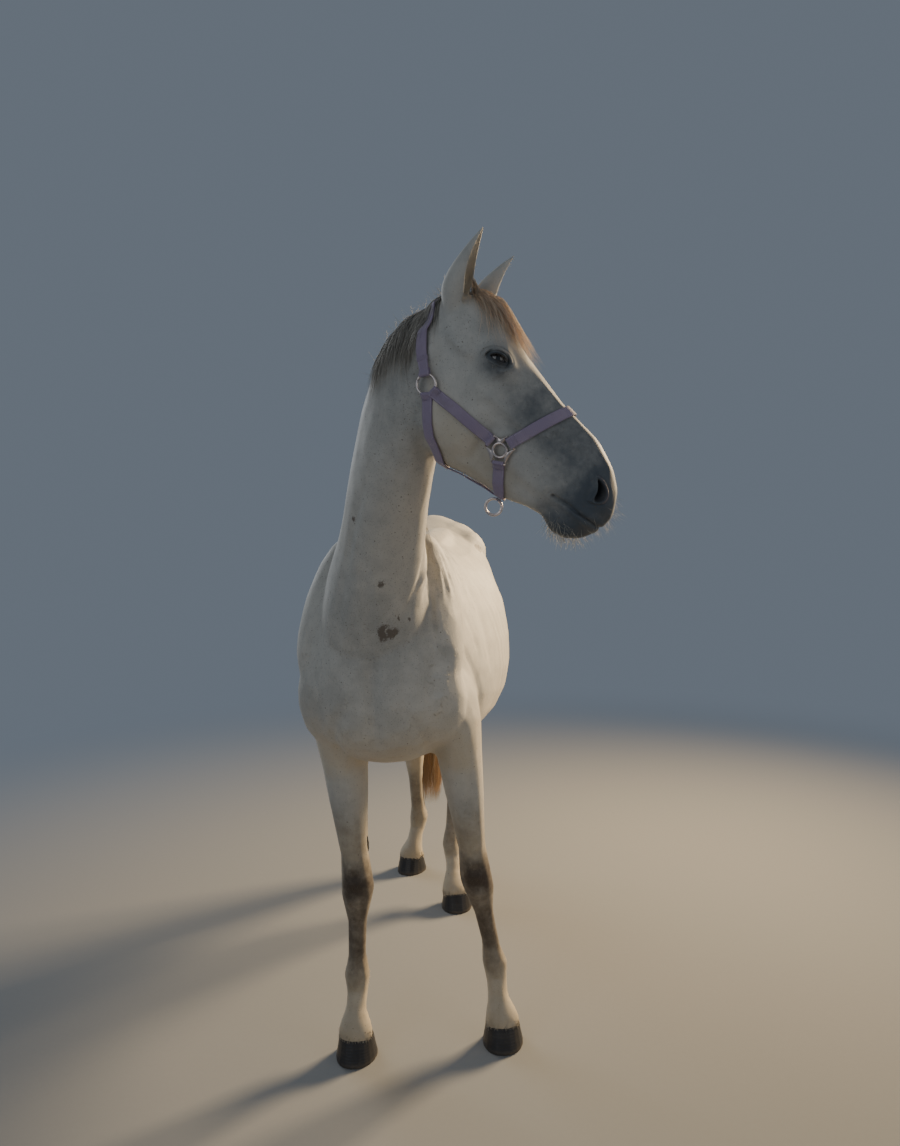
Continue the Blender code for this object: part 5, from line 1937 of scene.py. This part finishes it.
def roundRing(name, middle, normal, radius, wire, look, steps=64, through=14):
    # A ring of round wire: a circle of wire spun about the normal.
    bm = bmesh.new()
    addRoundRing(bm, middle, normal, radius, wire, steps, through)
    return fromShape(name, bm, look)


def addRoundRing(bm, middle, normal, radius, wire, steps=64, through=14):
    side = normal.orthogonal().normalized()
    turn = Matrix((side, normal, side.cross(normal))).transposed().to_4x4()
    place = Matrix.Translation(middle + side * radius) @ turn
    made = bmesh.ops.create_circle(bm, segments=through, radius=wire, matrix=place)
    plan = {"cent": middle, "axis": normal, "angle": 2 * math.pi, "steps": steps}
    bmesh.ops.spin(bm, geom=edgesOf(made["verts"]), use_merge=True, use_duplicate=False, **plan)


def addRod(bm, start, end, radius):
    # A round rod with domed ends.
    along = end - start
    turn = along.to_track_quat("Z", "Y").to_matrix().to_4x4()
    place = Matrix.Translation((start + end) / 2) @ turn
    plan = {"segments": 16, "radius1": radius, "radius2": radius, "depth": along.length}
    bmesh.ops.create_cone(bm, cap_ends=True, matrix=place, **plan)
    for spot in (start, end):
        place = Matrix.Translation(spot)
        bmesh.ops.create_icosphere(bm, subdivisions=2, radius=radius, matrix=place)


fitting = {
    "half": 0.0018,                             # half the plates' thickness
    "inset": 0.0025,                            # from the bars' reach to their middles
    "bar": 0.0021,
    "end": 0.0024,                              # half the width of a plate at a bar
    "fork": 0.34,                               # half the angle that a plate takes up at the ring
    "bevel": 0.0007,
}


def addFitting(name, middle, normal, aims, look):
    # A ring with a bar towards each strap's end, and a forked plate between two bars.
    bm = bmesh.new()
    ring = collar["fittingRing"]
    addRoundRing(bm, middle, normal, ring, collar["wire"])
    side = normal.orthogonal().normalized()
    cross = normal.cross(side)
    ways = [aim - middle for aim in aims]
    turns = [math.atan2(way.dot(cross), way.dot(side)) % (2 * math.pi) for way in ways]
    turns.sort()
    half = collar["barWide"] / 2 - 0.002
    end, fork = fitting["end"], fitting["fork"]

    def spot(turn, reach):
        return middle + (side * math.cos(turn) + cross * math.sin(turn)) * reach

    def barEnd(turn, sign, shift=0):
        way = side * math.cos(turn) + cross * math.sin(turn)
        reach = ring + collar["barReach"] - fitting["inset"] + shift
        return middle + way * reach + normal.cross(way) * half * sign

    for turn, after in zip(turns, turns[1:] + [turns[0] + 2 * math.pi]):
        between = (turn + after) / 2
        outline = [
            spot(between - fork, ring + 0.0015),
            barEnd(turn, 1, -end),
            barEnd(turn, 1, end),
            spot(between, ring + 0.0085),
            barEnd(after, -1, end),
            barEnd(after, -1, -end),
            spot(between + fork, ring + 0.0015),
        ]
        low = [bm.verts.new(place - normal * fitting["half"]) for place in outline]
        high = [bm.verts.new(place + normal * fitting["half"]) for place in outline]
        faces = [bm.faces.new(low[::-1]), bm.faces.new(high)]
        for i, vert in enumerate(low):
            j = (i + 1) % len(low)
            faces.append(bm.faces.new((vert, low[j], high[j], high[i])))
        edges = list(dict.fromkeys(edge for face in faces for edge in face.edges))
        plan = {"offset": fitting["bevel"], "offset_type": "OFFSET", "segments": 3}
        plan.update(profile=0.5, affect="EDGES", clamp_overlap=True, material=-1)
        bmesh.ops.bevel(bm, geom=edges, **plan)
        addRod(bm, barEnd(turn, -1), barEnd(turn, 1), fitting["bar"])
    return fromShape(name, bm, look)


keeperPlan = {"tall": 0.01, "scale": 1.1, "lift": 0.0004}
bucklePlan = {"wide": 0.0165, "tall": 0.0105, "rise": 0.003, "wire": 0.0019, "tongue": 0.0014}
chinLoop = {"radius": 0.0036, "wire": 0.0011, "stretch": 5}


def addKeeper(name, station, look):
    # A short loop of webbing round a strap.
    point, ahead, out, side = station
    rings = []
    # share of its height, and how wide and thick it is there
    for shift, wide, slim in ((-0.5, 0.99, 0.93), (-0.42, 1, 1), (0.42, 1, 1), (0.5, 0.99, 0.93)):
        points = []
        for across, rise in webSection:
            reach = side * across * collar["wide"] * keeperPlan["scale"] * wide
            up = out * (keeperPlan["lift"] + (rise - 0.1) * collar["thick"] * slim)
            points.append(point + ahead * keeperPlan["tall"] * shift + reach + up)
        rings.append(points)
    bm = bmesh.new()
    loft(bm, rings)
    made = keep(fromShape(name, bm, look), "webbing")
    made.data.uv_layers.new(name="webbing")


def addBuckle(name, station, look):
    # A square frame with a tongue, over the strap.
    point, ahead, out, side = station
    middle = point + out * (collar["thick"] + bucklePlan["rise"])
    across, along = side * bucklePlan["wide"], ahead * bucklePlan["tall"]
    corners = [middle + across + along, middle - across + along]
    corners += [middle - across - along, middle + across - along]
    bm = bmesh.new()
    for start, end in zip(corners, corners[1:] + corners[:1]):
        addRod(bm, start, end, bucklePlan["wire"])
    tip = middle + along + ahead * 0.001 + out * 0.002
    addRod(bm, middle - along, tip, bucklePlan["tongue"])
    keep(fromShape(name, bm, look), "metal")


def addHeadcollar():
    web, plated = webbingLook(), metalLook()
    flesh = copied("flesh", fleshNodes)
    tree = treeOf(flesh)
    wire, ringSize = collar["wire"], collar["cheekRing"]
    rest = wire + collar["lift"]
    fittingReach = collar["fittingRing"] + collar["barReach"]
    rings, fittings = {}, {}
    for side, sign in sides.items():
        middle, normal = restOnCoat(tree, sidePoint(ringSpot, sign), ringSize + wire, rest)
        made = roundRing("cheek_ring_" + side, middle, normal, ringSize, wire, plated)
        keep(made, "metal", "ring_cheek_" + side)
        rings[side] = (middle, normal, ringSize)
        middle, normal = restOnCoat(tree, sidePoint(fittingSpot, sign), fittingReach, rest)
        aims = [sidePoint(spot, sign) for spot in (noseRow[1], jawRow[1], cheekRow[-2])]
        made = addFitting("square_fitting_" + side, middle, normal, aims, plated)
        keep(made, "metal", "fitting_" + side)
        fittings[side] = (middle, normal, fittingReach - fitting["inset"])
    ringEnd = ringSize + wire + 0.004
    barEnd = fittingReach + 0.001
    linkEnd = collar["wide"] / 2 - 0.002
    # rows, what the ends clear, what they are looped round
    plans = {
        "crown": (mirrored(crownRow, (-0.05, -0.062, 0)), ringEnd, rings),
        "throat": (mirrored(throatRow), ringEnd, rings),
        "nose": (mirrored(noseRow, (0.341, 0.003, 0)), barEnd, fittings),
        "jaw": (mirrored(jawRow, chinSpot), barEnd, fittings),
        "link": (linkRow, linkEnd, {"left": None, "right": None}),
    }
    laid = {}
    for name, (spots, clear, holders) in plans.items():
        ends = (holders["left"], holders["right"])
        laid[name] = addStrap("webbing_" + name, tree, spots, (clear, clear), ends, web)
    for side, sign in sides.items():
        spots = [(a, b, sign * c) for a, b, c in cheekRow]
        ends = (rings[side], fittings[side])
        addStrap("webbing_cheek_" + side, tree, spots, (ringEnd, barEnd), ends, web)
    addKeeper("keeper_right", laid["crown"][-6], web)
    addKeeper("keeper_left", laid["crown"][20], web)
    addBuckle("crown_buckle", laid["crown"][13], plated)
    place, normal = tree.find_nearest(headPoint(*chinSpot))[:2]
    middle = place + normal * (0.0064 + collar["chinRing"] + wire)
    made = roundRing("chin_ring", middle, headLeft, collar["chinRing"], wire, plated)
    keep(made, "metal", "ring_chin")

    # the loop of webbing that holds the chin ring is a ring drawn out to the sides
    point = place + normal * 0.0044
    middle, radius = point + normal * 0.003, chinLoop["radius"]
    loop = roundRing("chin_loop", middle, headLeft, radius, chinLoop["wire"], web, 24, 8)
    places = readPlaces(loop.data)
    left = np.array(headLeft)
    shift = (places - np.array(point)) @ left
    move(loop.data, places + left * (shift * chinLoop["stretch"])[:, None])
    loop.data.uv_layers.new(name="webbing")
    keep(loop, "webbing")
    bpy.data.objects.remove(flesh)


addHeadcollar()
print("headcollar: webbing and hardware")

stagePlan = {
    "floor": colour(0.28, 0.28, 0.275),
    "speck": colour(0.25, 0.25, 0.245),
    "radius": 11,
    "world": colour(0.6, 0.72, 0.88),
    "strength": 0.22,
    "aim": Vector((0, -0.2, 1.2)),
    "lights": [
        # name, place, size, spread in degrees, power, colour
        ("sun", (2.9, 2.9, 2.9), 1.2, 112, 225, (1, 0.75, 0.44)),
        ("front", (-2.6, -4.2, 3.2), 3, 160, 22, (0.9, 0.95, 1)),
        ("side", (3.6, -2.4, 2), 2.4, 160, 14, (1, 0.97, 0.92)),
        ("back", (-3, 3, 3), 2.6, 160, 60, (0.92, 0.96, 1)),
    ],
}


def addLight(name, place, size, spread, power, tone):
    light = bpy.data.lights.new(name, "AREA")
    light.size = size
    light.spread = math.radians(spread)
    light.energy = power
    light.color = tone
    lamp = bpy.data.objects.new(name, light)
    scene.collection.objects.link(lamp)
    turn = (stagePlan["aim"] - Vector(place)).to_track_quat("-Z", "Y").to_matrix()
    lamp.matrix_world = Matrix.Translation(place) @ turn.to_4x4()


def addStage():
    bm = bmesh.new()
    bmesh.ops.create_circle(bm, cap_ends=True, segments=128, radius=stagePlan["radius"])
    black, light, strength = colour(0, 0, 0), stagePlan["world"], stagePlan["strength"]
    look = Look("floor", 0.85, Emission_Strength=strength, Specular_IOR_Level=0)
    # far from the middle the floor gives the light of the backdrop, so that the two meet
    speck = look.noise(look.place(), 60, 4)
    values = {0: look.place()}
    far = look.node("ShaderNodeVectorMath", {"operation": "LENGTH"}, values, "Value")
    far = far.step(1.2, 4.4)
    shade = look.tint(stagePlan["floor"], stagePlan["speck"], speck * 0.4)
    look.set("Base Color", look.tint(shade, black, far))
    look.set("Emission Color", look.tint(black, light, far))
    fromShape("floor", bm, look.material)
    scene.world = bpy.data.worlds.new("studio")
    scene.world.use_nodes = True
    backdrop = scene.world.node_tree.nodes["Background"].inputs
    backdrop["Color"].default_value = light
    backdrop["Strength"].default_value = strength
    for plan in stagePlan["lights"]:
        addLight(*plan)


addStage()
print("stage: floor and lights")
